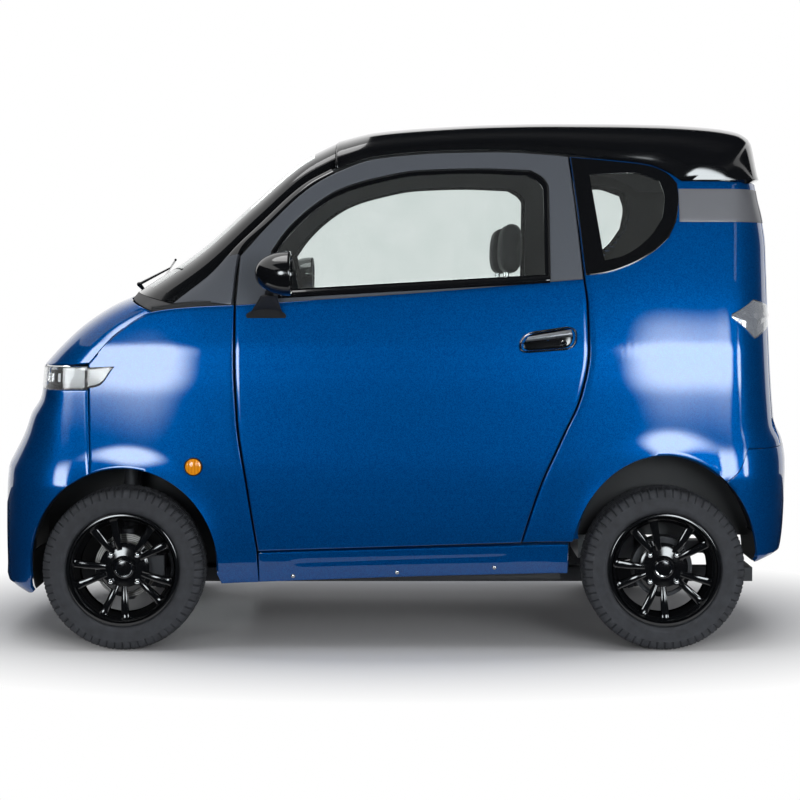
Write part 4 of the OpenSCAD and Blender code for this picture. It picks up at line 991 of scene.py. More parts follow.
class SCOOTER_OT_roof(bpy.types.Operator):
    """Roof, windscreen with its pillars, and cowl"""

    bl_idname = "scooter.roof"
    bl_label = "Roof and Windscreen"

    def execute(self, context):
        black = look("black")
        edge = on_side(curve(ROOF_EDGE, 90), 0)
        panel("roof_cap", bridge(edge, curve(ROOF_MID, 90), ACROSS), 0.020, "root", "gloss_black",
              [black, look("trim")], radius=0.006, replaces=["roof"])
        self.windscreen(black)
        outer, inner = on_side(curve(PILLAR_EDGE, 60), 0.001), on_side(curve(SCREEN_EDGE, 60), PILLAR_WIDTH)
        t = np.linspace(0, 1, 13)[None, :, None]
        rise = 4 * t * (1 - t) * np.array([-0.009, 0, 0.007])
        grid = outer[:, None] * (1 - t) + inner[:, None] * t + rise
        for side, mirror in SIDES:
            points, faces = panel_mesh(grid[:, ::-1][::-1], 0.016, 0.003)
            height = [np.mean([points[v][2] for v in f]) for f, _ in faces]
            piece("pillar_" + side, sided(points, mirror), [f for f, _ in faces], "root", "gloss_black",
                  [black, look("charcoal")], replaces=once(side, "pillars"),
                  picks=[1 if h < 1.236 else 0 for h in height])
        self.cowl()
        return {"FINISHED"}

    def windscreen(self, black):
        """Clear pane with a black printed border, broad at the sides."""
        grid = bridge(on_side(curve(SCREEN_EDGE, 60), PILLAR_WIDTH), curve(SCREEN_MID, 60), ACROSS)
        low, high, side = 3, 54, 14
        panel("windscreen_pane", grid[low:high + 1, side:ACROSS + 1 - side], BORDER_THICK, "root", "glass",
              [look("glass")], radius=0, replaces=["windscreen"])
        for name, part in (("foot", grid[:low + 1]), ("head", grid[high:]), ("left", grid[low:high + 1, :side + 1]),
                           ("right", grid[low:high + 1, ACROSS - side:])):
            panel("windscreen_border_" + name, part, BORDER_THICK, "root", "glass", [black], radius=0)

    def cowl(self):
        """Plastic cowl between the hood and the windscreen."""
        last = hood_edge(40)[-1]
        foot = on_side(SCREEN_EDGE[:1], PILLAR_WIDTH + 0.002)[0]
        edge = np.stack([last + (0.005, 0.014, 0), foot - (0.0016, 0, 0.0004)])
        mid = np.stack([HOOD_MID[-1] + (0.005, 0), SCREEN_MID[0] - (0.0016, 0.0004)])
        panel("cowl_panel", bridge(curve(edge, 10), curve(mid, 10), ACROSS), 0.007, "root", "gloss_black",
              [look("plastic")], radius=0.002, replaces=["cowl"])


class SCOOTER_OT_quarter_windows(bpy.types.Operator):
    """Bonded quarter windows with a black printed border"""

    bl_idname = "scooter.quarter_windows"
    bl_label = "Quarter Windows"

    def execute(self, context):
        counts = (24, 26, 14, 28)
        border = skin(ring(outline(QUARTER_CLEAR, counts), outline(QUARTER_GLASS, counts), 8), -0.0054)
        pane = patch(curve(QUARTER_CLEAR[3][::-1], 28), curve(QUARTER_CLEAR[1], 28), curve(QUARTER_CLEAR[0], 16),
                     curve(QUARTER_CLEAR[2][::-1], 16))
        for side, mirror in SIDES:
            panel("quarter_border_" + side, border, BORDER_THICK, "root", "glass", [look("black")], radius=0.0012,
                  loop=True, mirror=mirror)
            panel("quarter_pane_" + side, skin(pane, -0.0052), PANE_THICK, "root", "glass", [look("glass")], radius=0,
                  mirror=mirror, replaces=once(side, "quarter_glass"))
        return {"FINISHED"}


class SCOOTER_OT_lamps(bpy.types.Operator):
    """Headlamps, tail lamps and side repeaters"""

    bl_idname = "scooter.lamps"
    bl_label = "Lamps"

    def execute(self, context):
        for side, mirror in SIDES:
            self.headlamp(side, mirror)
            self.tail_lamp(side, mirror)
            self.repeater(side, mirror)
        return {"FINISHED"}

    def headlamp(self, side, mirror):
        """Slim lens round the corner over a black housing with a bright strip and three lamp units."""
        first = FRONT_CORNER - WRAP * 0.60
        low = curve([(first, LAMP_LOW_Z + 0.0066), ((first + SEAM_X) / 2, LAMP_LOW_Z + 0.0006),
                     (SEAM_X - 0.004, LAMP_LOW_Z + 0.0006)], 40)
        high = straight((first - 0.03, LAMP_HIGH_Z), (SEAM_X - 0.004, LAMP_HIGH_Z), 40)
        flat = between(low, high, 12)
        panel("headlamp_lens_" + side, skin(flat, -0.002), 0.004, "root", "lamp_lens", [look("lens")], radius=0.0015,
              mirror=mirror, replaces=once(side, "headlamps"))
        u, v = np.linspace(0, 1, 41)[:, None], np.linspace(0, 1, 13)[None, :]
        bowl = 0.006 + 0.014 * np.minimum(1, 6 * np.minimum(v, 1 - v)) * np.minimum(1, 10 * np.minimum(u, 1 - u) + 0.2)
        points, faces = panel_mesh(skin(flat, bowl), 0.004, 0)
        height = [np.mean([points[k][2] for k in f]) for f, _ in faces]
        piece("headlamp_housing_" + side, sided(points, mirror), [f for f, _ in faces], "root", "black_plastic",
              [look("seal"), look("chrome")], picks=[1 if h > LAMP_HIGH_Z - 0.014 else 0 for h in height])
        units = []
        for share in (0.40, 0.58, 0.76):
            s = first + (SEAM_X - first) * share
            a, b, c, d = s - 0.012, s + 0.012, 0.838, 0.866
            points, faces = panel_mesh(skin(quad((a, c), (b, c), (a, d), (b, d), 6, 6), 0.009), 0.006, 0.003)
            units.append((points, [f for f, _ in faces]))
        points, faces = together(*units)
        piece("headlamp_units_" + side, sided(points, mirror), faces, "root", "lamp_lens", [look("chrome")])
        # Pointed tail of the lamp, laid on the fender
        a = SEAM_X - 0.003
        low = curve([(a, LAMP_LOW_Z + 0.006), (a + 0.035, LAMP_LOW_Z + 0.014), (a + 0.077, LAMP_HIGH_Z - 0.006)], 16)
        high = straight((a, LAMP_HIGH_Z - 0.004), (a + 0.083, LAMP_HIGH_Z), 16)
        tail = between(low, high, 10)
        panel("headlamp_tail_" + side, skin(tail, -0.0044), 0.0024, "root", "lamp_lens", [look("lens")], radius=0.001,
              mirror=mirror)
        panel("headlamp_base_" + side, skin(tail, -0.0014), 0.001, "root", "lamp_lens", [look("plastic")], radius=0,
              mirror=mirror)
        rim = joined(straight(high[0], high[-1], 16), straight(high[-1], low[-1], 4), low[::-1])
        strip = skin(np.stack([rim - (0, 0.0016), rim + (0, 0.0016)], 1), -0.0052)
        panel("headlamp_rim_" + side, strip, 0.002, "root", "lamp_lens", [look("seal")], radius=0, mirror=mirror)

    def tail_lamp(self, side, mirror):
        """Thin clear diamond over silvered facets that rise to a ridge."""
        z = 1.046
        tip, end = float(tail_s_of(np.array(RX + 0.212), np.array(z))), TAIL_SEAM - 0.012
        mid = tip + 0.45 * (end - tip)
        low = joined(straight((tip, z - 0.006), (mid, z - 0.072), 6), straight((mid, z - 0.072), (end, z - 0.034), 8))
        high = joined(straight((tip, z + 0.006), (mid, z + 0.051), 6), straight((mid, z + 0.051), (end, z + 0.032), 8))
        flat = between(low, high, 6)
        rise = np.interp(np.linspace(0, 1, 7), [0, 2 / 6, 3 / 6, 4 / 6, 1], [0, 0.45, 1, 0.45, 0])[None, :]
        run = np.interp(np.linspace(0, 1, 15), [0, 6 / 14, 9 / 14, 1], [0.1, 1.0, 0.6, 0.3])[:, None]
        panel("tail_lens_" + side, skin(flat, -0.005 - 0.014 * rise * run), 0.001, "root", "lamp_lens", [look("lens")],
              radius=0, mirror=mirror, sharp=4, replaces=once(side, "tail_lamps"))
        panel("tail_reflector_" + side, skin(flat, -0.0012 - 0.014 * rise * run), 0.001, "root", "lamp_lens",
              [look("silvered")], radius=0, mirror=mirror, sharp=4)

    def repeater(self, side, mirror):
        """Round amber lens in a black ring."""
        x, z = FX + 0.223, 0.577
        at = np.array([x, -float(half_width(np.array(x + 0.029), np.array(z))) - 0.0004, z])
        lens = [(ON_AXLE, 0.0100), (0.010, 0.0096), (0.019, 0.0084), (0.0245, 0.0062), (0.0258, 0.003),
                (0.0258, 0.0005), (ON_AXLE, 0.0005)]
        piece("repeater_lens_" + side, *turned(lens, 48, at, mirror), "root", "amber_lens", [look("amber")],
              replaces=once(side, "repeaters"))
        bezel = [(0.0260, 0.0005), (0.0260, 0.0056), (0.0268, 0.0064), (0.0282, 0.0056), (0.029, 0.002),
                 (0.029, 0.0005)]
        piece("repeater_ring_" + side, *turned(bezel, 48, at, mirror), "root", "amber_lens", [look("seal")])


class SCOOTER_OT_mirrors(bpy.types.Operator):
    """Door mirrors: round gloss heads on tapered feet"""

    bl_idname = "scooter.mirrors"
    bl_label = "Door Mirrors"

    def execute(self, context):
        for side, mirror in SIDES:
            body = side + "_door"
            foot = np.array([FX + 0.448, -float(half_width(np.array(FX + 0.448), np.array(1.020))) - 0.0004, 1.046])
            head = np.array([FX + 0.474, -float(half_width(np.array(FX + 0.474), np.array(1.082))) - 0.108, 1.178])
            bulb = [(ON_AXLE, -0.043)] + [(0.060 * math.sin(a) ** 0.92, 0.040 - 0.083 * math.cos(a))
                                         for a in np.linspace(0.12, math.pi / 2, 18)]
            bulb += [(0.0602, 0.043), (0.0588, 0.0462), (0.0560, 0.0470), (0.0538, 0.0456), (0.0530, 0.041),
                     (ON_AXLE, 0.041)]
            glass = [(ON_AXLE, 0.0432), (0.040, 0.0432), (0.0526, 0.0428), (0.0526, 0.0412), (ON_AXLE, 0.0412)]
            piece("mirror_head_" + side, *self.facing_back(bulb, head, mirror), body, "gloss_black", [look("black")],
                  replaces=["mirror_" + side])
            piece("mirror_glass_" + side, *self.facing_back(glass, head, mirror), body, "lamp_lens", [look("chrome")])
            top = np.array([head[0] - 0.014, head[1] + 0.050, 1.108])
            piece("mirror_foot_" + side, *self.foot(foot, top, head, mirror), body, "black_plastic", [look("plastic")])
        return {"FINISHED"}

    def facing_back(self, profile, head, mirror):
        """Profile turned round an axis along X and made wider than it is high."""
        points, faces = turned(profile, 40, (0, 0, 0))
        points = head + points[:, (1, 0, 2)] * (-1.24, 1.3, 1.14)
        return sided(points, mirror), faces

    def foot(self, base, top, head, mirror):
        """Cone from an oval on the door to a round neck under the head."""
        n = 36
        a = np.linspace(0, 2 * math.pi, n, endpoint=False)
        rows = []
        oval = np.stack([0.057 * np.cos(a), -0.010 * np.sin(a), 0.020 * np.sin(a)], 1)
        disc = np.stack([0.026 * np.cos(a), -0.026 * np.sin(a), 0 * a], 1)
        for share in (0, 0.04, 0.12, 0.3, 0.5, 0.7, 0.88, 0.96, 1):
            ease = share ** 0.8
            grow = 1.10 if share == 0 else 1.02 if share == 0.04 else 1
            rows.append(base + (top - base) * share + (oval * (1 - ease) + disc * ease) * grow)
        neck = top + (head - top) * 0.35
        for at, r in ((top + (0, 0, 0.003), 0.8), (top + (0, 0, 0.005), 0.55), (neck, 0.5),
                      (neck + (0, 0, 0.012), 0.5)):
            rows.append(at + disc * r)
        return sided(np.concatenate(rows), mirror), loft_faces(len(rows), n)


class SCOOTER_OT_handles(bpy.types.Operator):
    """Recessed door handles with a bright flap and a key lock"""

    bl_idname = "scooter.handles"
    bl_label = "Door Handles"

    def execute(self, context):
        rim, cup = self.outline(0), self.outline(0.010)
        for side, mirror in SIDES:
            body = side + "_door"
            grid = ring(cup, rim, 6)
            swell = np.array([0.004, -0.003, -0.0062, -0.0074, -0.0062, -0.003, -0.0004])[None, :]
            panel("handle_frame_" + side, skin(grid, swell), 0.004, body, "gloss_black", [look("dark_chrome")],
                  radius=0, loop=True, mirror=mirror, replaces=["handle_" + side])
            middle = cup.mean(0)
            bowl = ring(middle + (cup - middle) * 0.02, cup, 8)
            deep = np.array([0.0, 0, 0, 0, 0, 0.0002, 0.0006, 0.0016, 0.004])[None, :] - 0.0026
            panel("handle_cup_" + side, skin(bowl, deep), 0.001, body, "gloss_black", [look("black")], radius=0,
                  loop=True, mirror=mirror)
            a, b = cup[np.argmin(cup[:, 0])], cup[np.argmax(cup[:, 0])]
            flap = quad((a[0] + 0.012, 0.966), (b[0] - 0.006, 0.982), (a[0] + 0.018, 0.981), (b[0] - 0.010, 1.004),
                        24, 8)
            bulge = -0.006 - 0.005 * np.sin(np.linspace(0, math.pi, 9))[None, :]
            panel("handle_flap_" + side, skin(flap, bulge), 0.006, body, "gloss_black", [look("satin")], radius=0.002,
                  mirror=mirror)
            at = skin(np.array([b[0] - 0.034, 0.961]), 0.0)
            lock = [(ON_AXLE, 0.0052), (0.004, 0.0052), (0.0044, 0.0066), (0.0085, 0.0066), (0.0096, 0.0056),
                    (0.0096, 0.0), (ON_AXLE, 0.0)]
            piece("handle_lock_" + side, *turned(lock, 32, at, mirror), body, "chassis_steel", [look("chrome")])
        return {"FINISHED"}

    def outline(self, inset):
        """Rounded handle opening, going front up, top back, rear down and low forward."""
        corners = [(-0.464, 0.930), (-0.446, 0.992), (-0.271, 1.016), (-0.274, 0.944)]
        rounded = []
        centre = np.mean(corners, 0)
        corners = [np.array(c) + (centre - c) / np.linalg.norm(centre - c) * inset for c in corners]
        for k, c in enumerate(corners):
            before, after = corners[k - 1] - c, corners[(k + 1) % 4] - c
            p, q = c + before / np.linalg.norm(before) * 0.034, c + after / np.linalg.norm(after) * 0.034
            t = np.linspace(0, 1, 10)[:, None]
            rounded.append((1 - t) ** 2 * p + 2 * t * (1 - t) * c + t * t * q)
        loop = np.concatenate(rounded + [rounded[0][:1]])
        return spread(loop, 96)[:-1] + (RX, 0)


class SCOOTER_OT_wheels(bpy.types.Operator):
    """Tyres with tread, twin-spoke rims, nuts and bare hub caps"""

    bl_idname = "scooter.wheels"
    bl_label = "Wheels"

    def execute(self, context):
        for corner, x in (("fl", FX), ("fr", FX), ("rl", RX), ("rr", RX)):
            mirror = corner.endswith("r")
            at = np.array([x, -WHEEL_Y, AXLE_Z])
            body = "wheel_" + corner
            self.tyre(corner, at, mirror, body)
            self.rim(corner, at, mirror, body)
        return {"FINISHED"}

    def tyre(self, corner, at, mirror, body):
        """Tyre with ribbed sidewalls, four grooves and notched shoulders."""
        r, w, f = TYRE_R, TYRE_W / 2, RIM_R
        span = r - f
        half = curve([(f - 0.0126, w - 0.016), (f + 0.001, w - 0.013), (f + 0.005, w - 0.004), (f + span * 0.35, w),
                      (f + span * 0.65, w - 0.001), (r - 0.011, w - 0.007), (r - 0.0025, w - 0.018),
                      (r, w - 0.032)], 22)
        tread = straight((r, w - 0.032), (r, -(w - 0.032)), 32)
        profile = joined(half, tread, half[::-1] * (1, -1))
        radius, place = profile.T
        blocks = sizes().tread_blocks
        n = blocks * 7
        depth = sizes().tread_depth
        grooves = (np.abs(np.abs(place) - 0.013) < 0.0035) | (np.abs(np.abs(place) - 0.034) < 0.0035)
        on_tread = radius > r - 0.004
        shoulder = (radius > r - 0.024) & (np.abs(place) > 0.036)
        rib = 0.0012 * ((np.abs(radius - (f + span * 0.22)) < 0.0025) | (np.abs(radius - (f + span * 0.62)) < 0.002))
        angle = np.arange(n)[:, None]
        notch = (angle % 7 < 1) & shoulder[None, :]
        sipe = ((angle + 3 * (place[None, :] > 0)) % 7 < 1) & on_tread[None, :] & (np.abs(place)[None, :] > 0.016)
        cut = np.where(notch, depth * 0.6, 0) + np.where(sipe & ~notch, depth * 0.5, 0)
        cut = np.maximum(cut, np.where(grooves & on_tread, depth, 0)[None, :])
        a = angle[..., 0] * 2 * math.pi / n
        rad = radius[None, :] - cut
        dent = np.where(notch & (radius < r - 0.004), depth * 0.4, 0)
        out = place[None, :] + np.sign(place)[None, :] * (rib[None, :] - dent)
        x = at[0] + rad * np.cos(a)[:, None]
        z = at[2] + rad * np.sin(a)[:, None]
        points = np.stack([x, at[1] - out, z], -1).reshape(-1, 3)
        piece("tyre_dressed_" + corner, sided(points, mirror), loft_faces(n, len(radius), wrap=True), body,
              "tyre_rubber", [look("rubber")], replaces=["tyre_" + corner])

    def rim(self, corner, at, mirror, body):
        """Barrel with rolled flanges, five twin spokes, nuts and cap."""
        f, w = RIM_R, TYRE_W / 2
        out = [(f - 0.010, w - 0.0032), (f - 0.004, w - 0.0030), (f - 0.0008, w - 0.0045), (f, w - 0.008),
               (f - 0.002, w - 0.0115), (f - 0.013, w - 0.015), (f - 0.015, w - 0.052), (f - 0.026, w - 0.060)]
        out += [(p, -q) for p, q in out[::-1]]
        inside = [(f - 0.034, -(w - 0.060)), (f - 0.026, -(w - 0.050)), (f - 0.023, -(w - 0.018)),
                  (f - 0.016, -(w - 0.008)), (f - 0.014, -(w - 0.004)), (f - 0.014, w - 0.0045),
                  (f - 0.0165, w - 0.008), (f - 0.022, w - 0.020), (f - 0.024, w - 0.050), (f - 0.034, w - 0.058)]
        piece("rim_barrel_" + corner, *turned(out + inside, 96, at, mirror), body, "rim_black", [look("rim")],
              replaces=["rim_" + corner])
        hub = [(ON_AXLE, 0.008), (0.050, 0.008), (0.054, 0.012), (0.076, 0.018), (0.079, 0.022), (0.0785, 0.028),
               (0.074, 0.031), (0.060, 0.033), (0.046, 0.036), (0.040, 0.037), (0.038, 0.034), (ON_AXLE, 0.034)]
        bars = [turned(hub, 80, at, mirror)]
        for k in range(TWIN_SPOKES):
            angle = SPOKE_TURN + 360 / TWIN_SPOKES * k
            bars += [self.spoke(at, angle, -1, mirror), self.spoke(at, angle, 1, mirror), self.web(at, angle, mirror)]
        piece("rim_spokes_" + corner, *together(*bars), body, "rim_black", [look("rim")])
        nuts = []
        for k in range(WHEEL_NUTS):
            a = math.radians(45 + 360 / WHEEL_NUTS * k)
            spot = at + (0.059 * math.cos(a), 0, 0.059 * math.sin(a))
            nuts.append(turned([(ON_AXLE, 0.046), (0.004, 0.0455), (0.0085, 0.043), (0.010, 0.041), (0.010, 0.031),
                                (ON_AXLE, 0.031)], 6, spot, mirror))
            nuts.append(turned([(0.010, 0.0335), (0.0125, 0.0335), (0.0125, 0.0315), (0.010, 0.0315)], 24, spot,
                               mirror))
        piece("wheel_nuts_" + corner, *together(*nuts), body, "chassis_steel", [look("chrome")])
        cap = [(ON_AXLE, 0.0425), (0.016, 0.0422), (0.0225, 0.0412), (0.0235, 0.040), (0.029, 0.0405), (0.0315, 0.039),
               (0.033, 0.035), (ON_AXLE, 0.035)]
        piece("hub_cap_" + corner, *turned(cap, 64, at, mirror), body, "rim_black", [look("rim")])
        thin = [(0.0230, 0.0402), (0.0236, 0.0418), (0.0250, 0.0422), (0.0262, 0.0414), (0.0262, 0.0402)]
        piece("hub_ring_" + corner, *turned(thin, 64, at, mirror), body, "chassis_steel", [look("chrome")])

    def swept(self, stations, at, mirror):
        """Bar through stations of (angle, radius, face, half width, depth), with rounded front edges."""
        rows = []
        for angle, radius, front, half, deep in stations:
            a = math.radians(angle)
            way, across = np.array([math.cos(a), math.sin(a)]), np.array([-math.sin(a), math.cos(a)])
            section = [(-half, -deep), (-half, -0.005), (-half + 0.0015, -0.0015), (-half + 0.005, 0), (0, 0.0004),
                       (half - 0.005, 0), (half - 0.0015, -0.0015), (half, -0.005), (half, -deep)]
            rows.append([(at[0] + way[0] * radius + across[0] * c, at[1] - front - d,
                          at[2] + way[1] * radius + across[1] * c) for c, d in section])
        points = np.array(rows).reshape(-1, 3)
        return sided(points, mirror), loft_faces(len(rows), len(rows[0]))

    def spoke(self, at, middle, way, mirror):
        """One bar of a twin spoke: narrow at the hub, wider and turned outwards at the rim."""
        half = sizes().spoke_width / 2
        stations = []
        for t in np.linspace(0, 1, 12):
            radius = 0.058 + (RIM_R - 0.018 - 0.058) * t
            spread = way * (11.5 + 1.8 * t)
            front = 0.036 + 0.008 * math.sin(math.pi * min(1, t * 1.1)) + 0.014 * t ** 3
            stations.append((middle + spread, radius, front, half * (0.92 + 0.42 * t), 0.014 + 0.006 * (1 - t)))
        return self.swept(stations, at, mirror)

    def web(self, at, middle, mirror):
        """Low web between the two bars of a twin spoke, near the hub."""
        stations = [(middle, 0.060 + 0.030 * t, 0.031 - 0.002 * t, 0.014 + 0.004 * t, 0.012)
                    for t in np.linspace(0, 1, 5)]
        return self.swept(stations, at, mirror)


class SCOOTER_OT_seats(bpy.types.Operator):
    """Two seats with padded fabric cushions on plastic bases"""

    bl_idname = "scooter.seats"
    bl_label = "Seats"

    def execute(self, context):
        base = self.box((-0.088, -0.206, 0.412), (0.300, 0.206, 0.516), 0.045,
                        lambda p: p + (0, 0, 1) * (0.07 * (0.1 - p[:, :1])))
        back = self.box((0.268, -0.200, 0.520), (0.358, 0.200, 1.090), 0.040,
                        lambda p: p + (1, 0, 0) * (0.085 * (p[:, 2:] - 0.5)))
        rest = self.box((0.346, -0.110, 1.180), (0.410, 0.110, 1.342), 0.030,
                        lambda p: p + (1, 0, 0) * (0.03 * (p[:, 2:] - 1.2)))
        pads = [("seat_cushion", self.padded(*base, 0.011, 0.016), (0.10, 2, 1)),
                ("seat_back", self.padded(*back, 0.011, 0.014), (0.105, 0, -1)),
                ("headrest", self.padded(*rest, 0.008, 0.008), (0.0, 0, -1))]
        for side, way in (("left", -1), ("right", 1)):
            shift = np.array([0, way * SEAT_Y, 0])
            for name, (points, faces), (channel, axis, sign) in pads:
                made = self.sewn(points, channel, axis, sign)
                obj = piece(name + "_" + side, made + shift, faces, "root", "seat_cover", [look("fabric")], sharp=80,
                            replaces=["seats"] if name == "seat_cushion" and side == "left" else ())
            shell = rounded_box((-0.075, way * SEAT_Y - 0.19, 0.3955), (0.335, way * SEAT_Y + 0.19, 0.424), 0.010)
            piece("seat_base_" + side, *shell, "root", "black_plastic", [look("plastic")])
            posts = []
            for y in (-0.06, 0.06):
                points, faces = turned([(ON_AXLE, 0.0), (0.006, 0.0), (0.006, 0.12), (ON_AXLE, 0.12)], 16, (0, 0, 0))
                points = np.stack([0.368 + points[:, 0], way * SEAT_Y + y + points[:, 2], 1.190 + points[:, 1]], 1)
                posts.append((points, faces))
            piece("headrest_posts_" + side, *together(*posts), "root", "chassis_steel", [look("chrome")])
        return {"FINISHED"}

    def box(self, low, high, bevel, bend):
        """Rounded box whose points are then moved by a function."""
        points, faces = rounded_box(low, high, bevel, 4)
        return bend(points), faces

    def padded(self, points, faces, voxel, cap):
        """Remesh a closed form and swell it as stuffed cloth; no point moves further than the cap."""
        scene = bpy.context.scene
        mesh = bpy.data.meshes.new("pad")
        mesh.from_pydata(points.tolist(), [], [list(f) for f in faces])
        pad = bpy.data.objects.new("pad", mesh)
        scene.collection.objects.link(pad)
        remesh = pad.modifiers.new("Remesh", "REMESH")
        remesh.mode, remesh.voxel_size = "VOXEL", voxel
        pad.data = bpy.data.meshes.new_from_object(pad.evaluated_get(bpy.context.evaluated_depsgraph_get()))
        pad.modifiers.clear()
        start = np.array([v.co[:] for v in pad.data.vertices])
        end = start
        cloth = pad.modifiers.new("Cloth", "CLOTH")
        cloth.settings.use_pressure = True
        cloth.settings.uniform_pressure_force = CLOTH_PRESSURE
        cloth.settings.effector_weights.gravity = 0
        for frame in range(1, CLOTH_FRAMES + 1):
            scene.frame_set(frame)
        swollen = pad.evaluated_get(bpy.context.evaluated_depsgraph_get()).data
        end = np.array([v.co[:] for v in swollen.vertices])
        pad.modifiers.clear()
        scene.frame_set(1)
        move = end - start
        far = np.linalg.norm(move, axis=1, keepdims=True)
        end = start + move * np.minimum(1, cap / np.maximum(far, 1e-9))
        pad.data.vertices.foreach_set("co", end.ravel())
        smoother = pad.modifiers.new("Subdivision", "SUBSURF")
        smoother.levels = smoother.render_levels = 1
        done = bpy.data.meshes.new_from_object(pad.evaluated_get(bpy.context.evaluated_depsgraph_get()))
        points = np.array([v.co[:] for v in done.vertices])
        faces = [tuple(f.vertices) for f in done.polygons]
        bpy.data.objects.remove(pad)
        return points, faces

    def sewn(self, points, channel, axis, sign):
        """Press sewn channels into the side of a pad that faces along an axis."""
        if not channel:
            return points
        middle = (points[:, axis].min() + points[:, axis].max()) / 2
        facing = sign * (points[:, axis] - middle) > 0
        groove = sum(np.exp(-((points[:, 1] - y) / 0.006) ** 2) for y in (-channel, channel))
        made = points.copy()
        made[:, axis] -= np.where(facing, sign * 0.010 * groove, 0)
        return made


class SCOOTER_OT_cockpit(bpy.types.Operator):
    """Dashboard with instrument hood and steering wheel"""

    bl_idname = "scooter.cockpit"
    bl_label = "Cockpit"

    def execute(self, context):
        profile = np.array([(-0.500, 0.792), (-0.500, 1.022), (-0.480, 1.027), (-0.412, 1.020), (-0.345, 0.976),
                            (-0.330, 0.958), (-0.321, 0.905), (-0.326, 0.890), (-0.378, 0.802), (-0.392, 0.792)])
        half = 0.520
        ys = np.concatenate([[-half, -half + 0.004], np.linspace(-half + 0.012, half - 0.012, 40),
                             [half - 0.004, half]])
        centre = profile.mean(0)
        rows = []
        for y in ys:
            edge = 1 - 0.05 * max(0, 1 - (half - abs(y)) / 0.012) ** 2
            p = centre + (profile - centre) * edge
            hump = 0.012 * math.exp(-((y + SEAT_Y) / 0.14) ** 4)
            rows.append([(x, y, z + (hump if z > 1.0 else 0)) for x, z in p])
        points, faces = np.array(rows).reshape(-1, 3), loft_faces(len(rows), len(profile))
        piece("dashboard_top", points, faces, "root", "black_plastic", [look("plastic")], replaces=["dashboard"])
        screen = rounded_box((-0.352, -SEAT_Y - 0.10, 0.978), (-0.336, -SEAT_Y + 0.10, 1.028), 0.006)
        piece("instrument_screen", *screen, "root", "gloss_black", [look("black")])
        hub = np.array([FX + 0.660, -SEAT_Y, 0.965])
        column = [(ON_AXLE, -0.030), (0.026, -0.030), (0.028, -0.040), (0.028, -0.20), (ON_AXLE, -0.20)]
        piece("steering_column", *self.tilted(turned(column, 32, (0, 0, 0)), hub), "root", "black_plastic",
              [look("plastic")])
        grip = [(0.161 + 0.0145 * math.cos(a), 0.0145 * math.sin(a))
                for a in np.linspace(0, 2 * math.pi, 16, endpoint=False)]
        pad = [(ON_AXLE, 0.013), (0.034, 0.012), (0.049, 0.008), (0.054, 0.0), (0.052, -0.014), (0.040, -0.021),
               (ON_AXLE, -0.021)]
        parts = [turned(grip, 72, (0, 0, 0)), turned(pad, 40, (0, 0, 0))]
        for a in (0, 90, 180):
            bar, faces = rounded_box((0.040, -0.006, -0.014), (0.156, 0.006, 0.014), 0.005)
            c, s = math.cos(math.radians(a)), math.sin(math.radians(a))
            x, y, z = bar.T
            parts.append((np.stack([z * c + x * s, y, z * s - x * c], 1), faces))
        piece("steering_wheel_rim", *self.tilted(together(*parts), hub), "hand_wheel", "black_plastic",
              [look("plastic")], replaces=["steering_wheel"])
        return {"FINISHED"}

    def tilted(self, part, hub):
        """Turn a form whose axis points along -Y into the steering column's line."""
        points, faces = part
        tilt = math.radians(28)
        axis, up = np.array([math.cos(tilt), 0, math.sin(tilt)]), np.array([-math.sin(tilt), 0, math.cos(tilt)])
        across = np.array([0, 1.0, 0])
        return hub - points[:, 1:2] * axis + points[:, :1] * across + points[:, 2:] * up, faces


class SCOOTER_OT_running_gear(bpy.types.Operator):
    """Finishes of the chassis, axles, brakes, liners and wiper"""

    bl_idname = "scooter.running_gear"
    bl_label = "Running Gear"

    def execute(self, context):
        finishes = {
            "steel": ("rail_left", "rail_right", "crossbars", "front_suspension", "knuckle_left", "knuckle_right",
                      "rear_axle", "battery"),
            "plastic": ("floor_pan", "load_floor", "dash_panel"),
            "seal": ("arch_liners", "aprons"),
            "black": ("wiper",),
            "aluminium": ("motor",),
        }
        for name, nodes in finishes.items():
            for node in nodes:
                self.dress(node, look(name))
        for node in ("disc_left", "disc_right"):
            self.dress(node, turned_iron(middle(node)))
        for name, axle_x, height, a0, a1 in (("front", FX, FRONT_ARCH, 194, 172), ("rear", RX, REAR_ARCH, 18, 2)):
            self.shield(name, axle_x, height, a0, a1)
        return {"FINISHED"}

    def shield(self, name, axle_x, height, a0, a1):
        """Plastic shield that closes the wheel arch down to the bumper's lower edge."""
        edge = arch(axle_x, height, a0, a1, 20)
        centre = np.array([axle_x, AXLE_Z])
        edge = centre + (edge - centre) * 1.03
        reach = np.where(edge[:, 0] < 0, nose_s_of(edge[:, 0], edge[:, 1]), tail_s_of(edge[:, 0], edge[:, 1]))
        outer = skin(np.stack([reach, edge[:, 1]], 1), 0.016)
        inner = outer * (1, 0, 1) - (0, 0.33, 0)
        t = np.linspace(0, 1, 7)[None, :, None]
        grid = outer[:, None] * (1 - t) + inner[:, None] * t
        for side, mirror in SIDES:
            panel("arch_shield_%s_%s" % (name, side), grid, 0.004, "root", "black_plastic", [look("seal")],
                  radius=0.001, mirror=mirror)

    def dress(self, node, finish):
        """Put one material on a node."""
        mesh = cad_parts[node].data
        mesh.materials.clear()
        mesh.materials.append(finish)


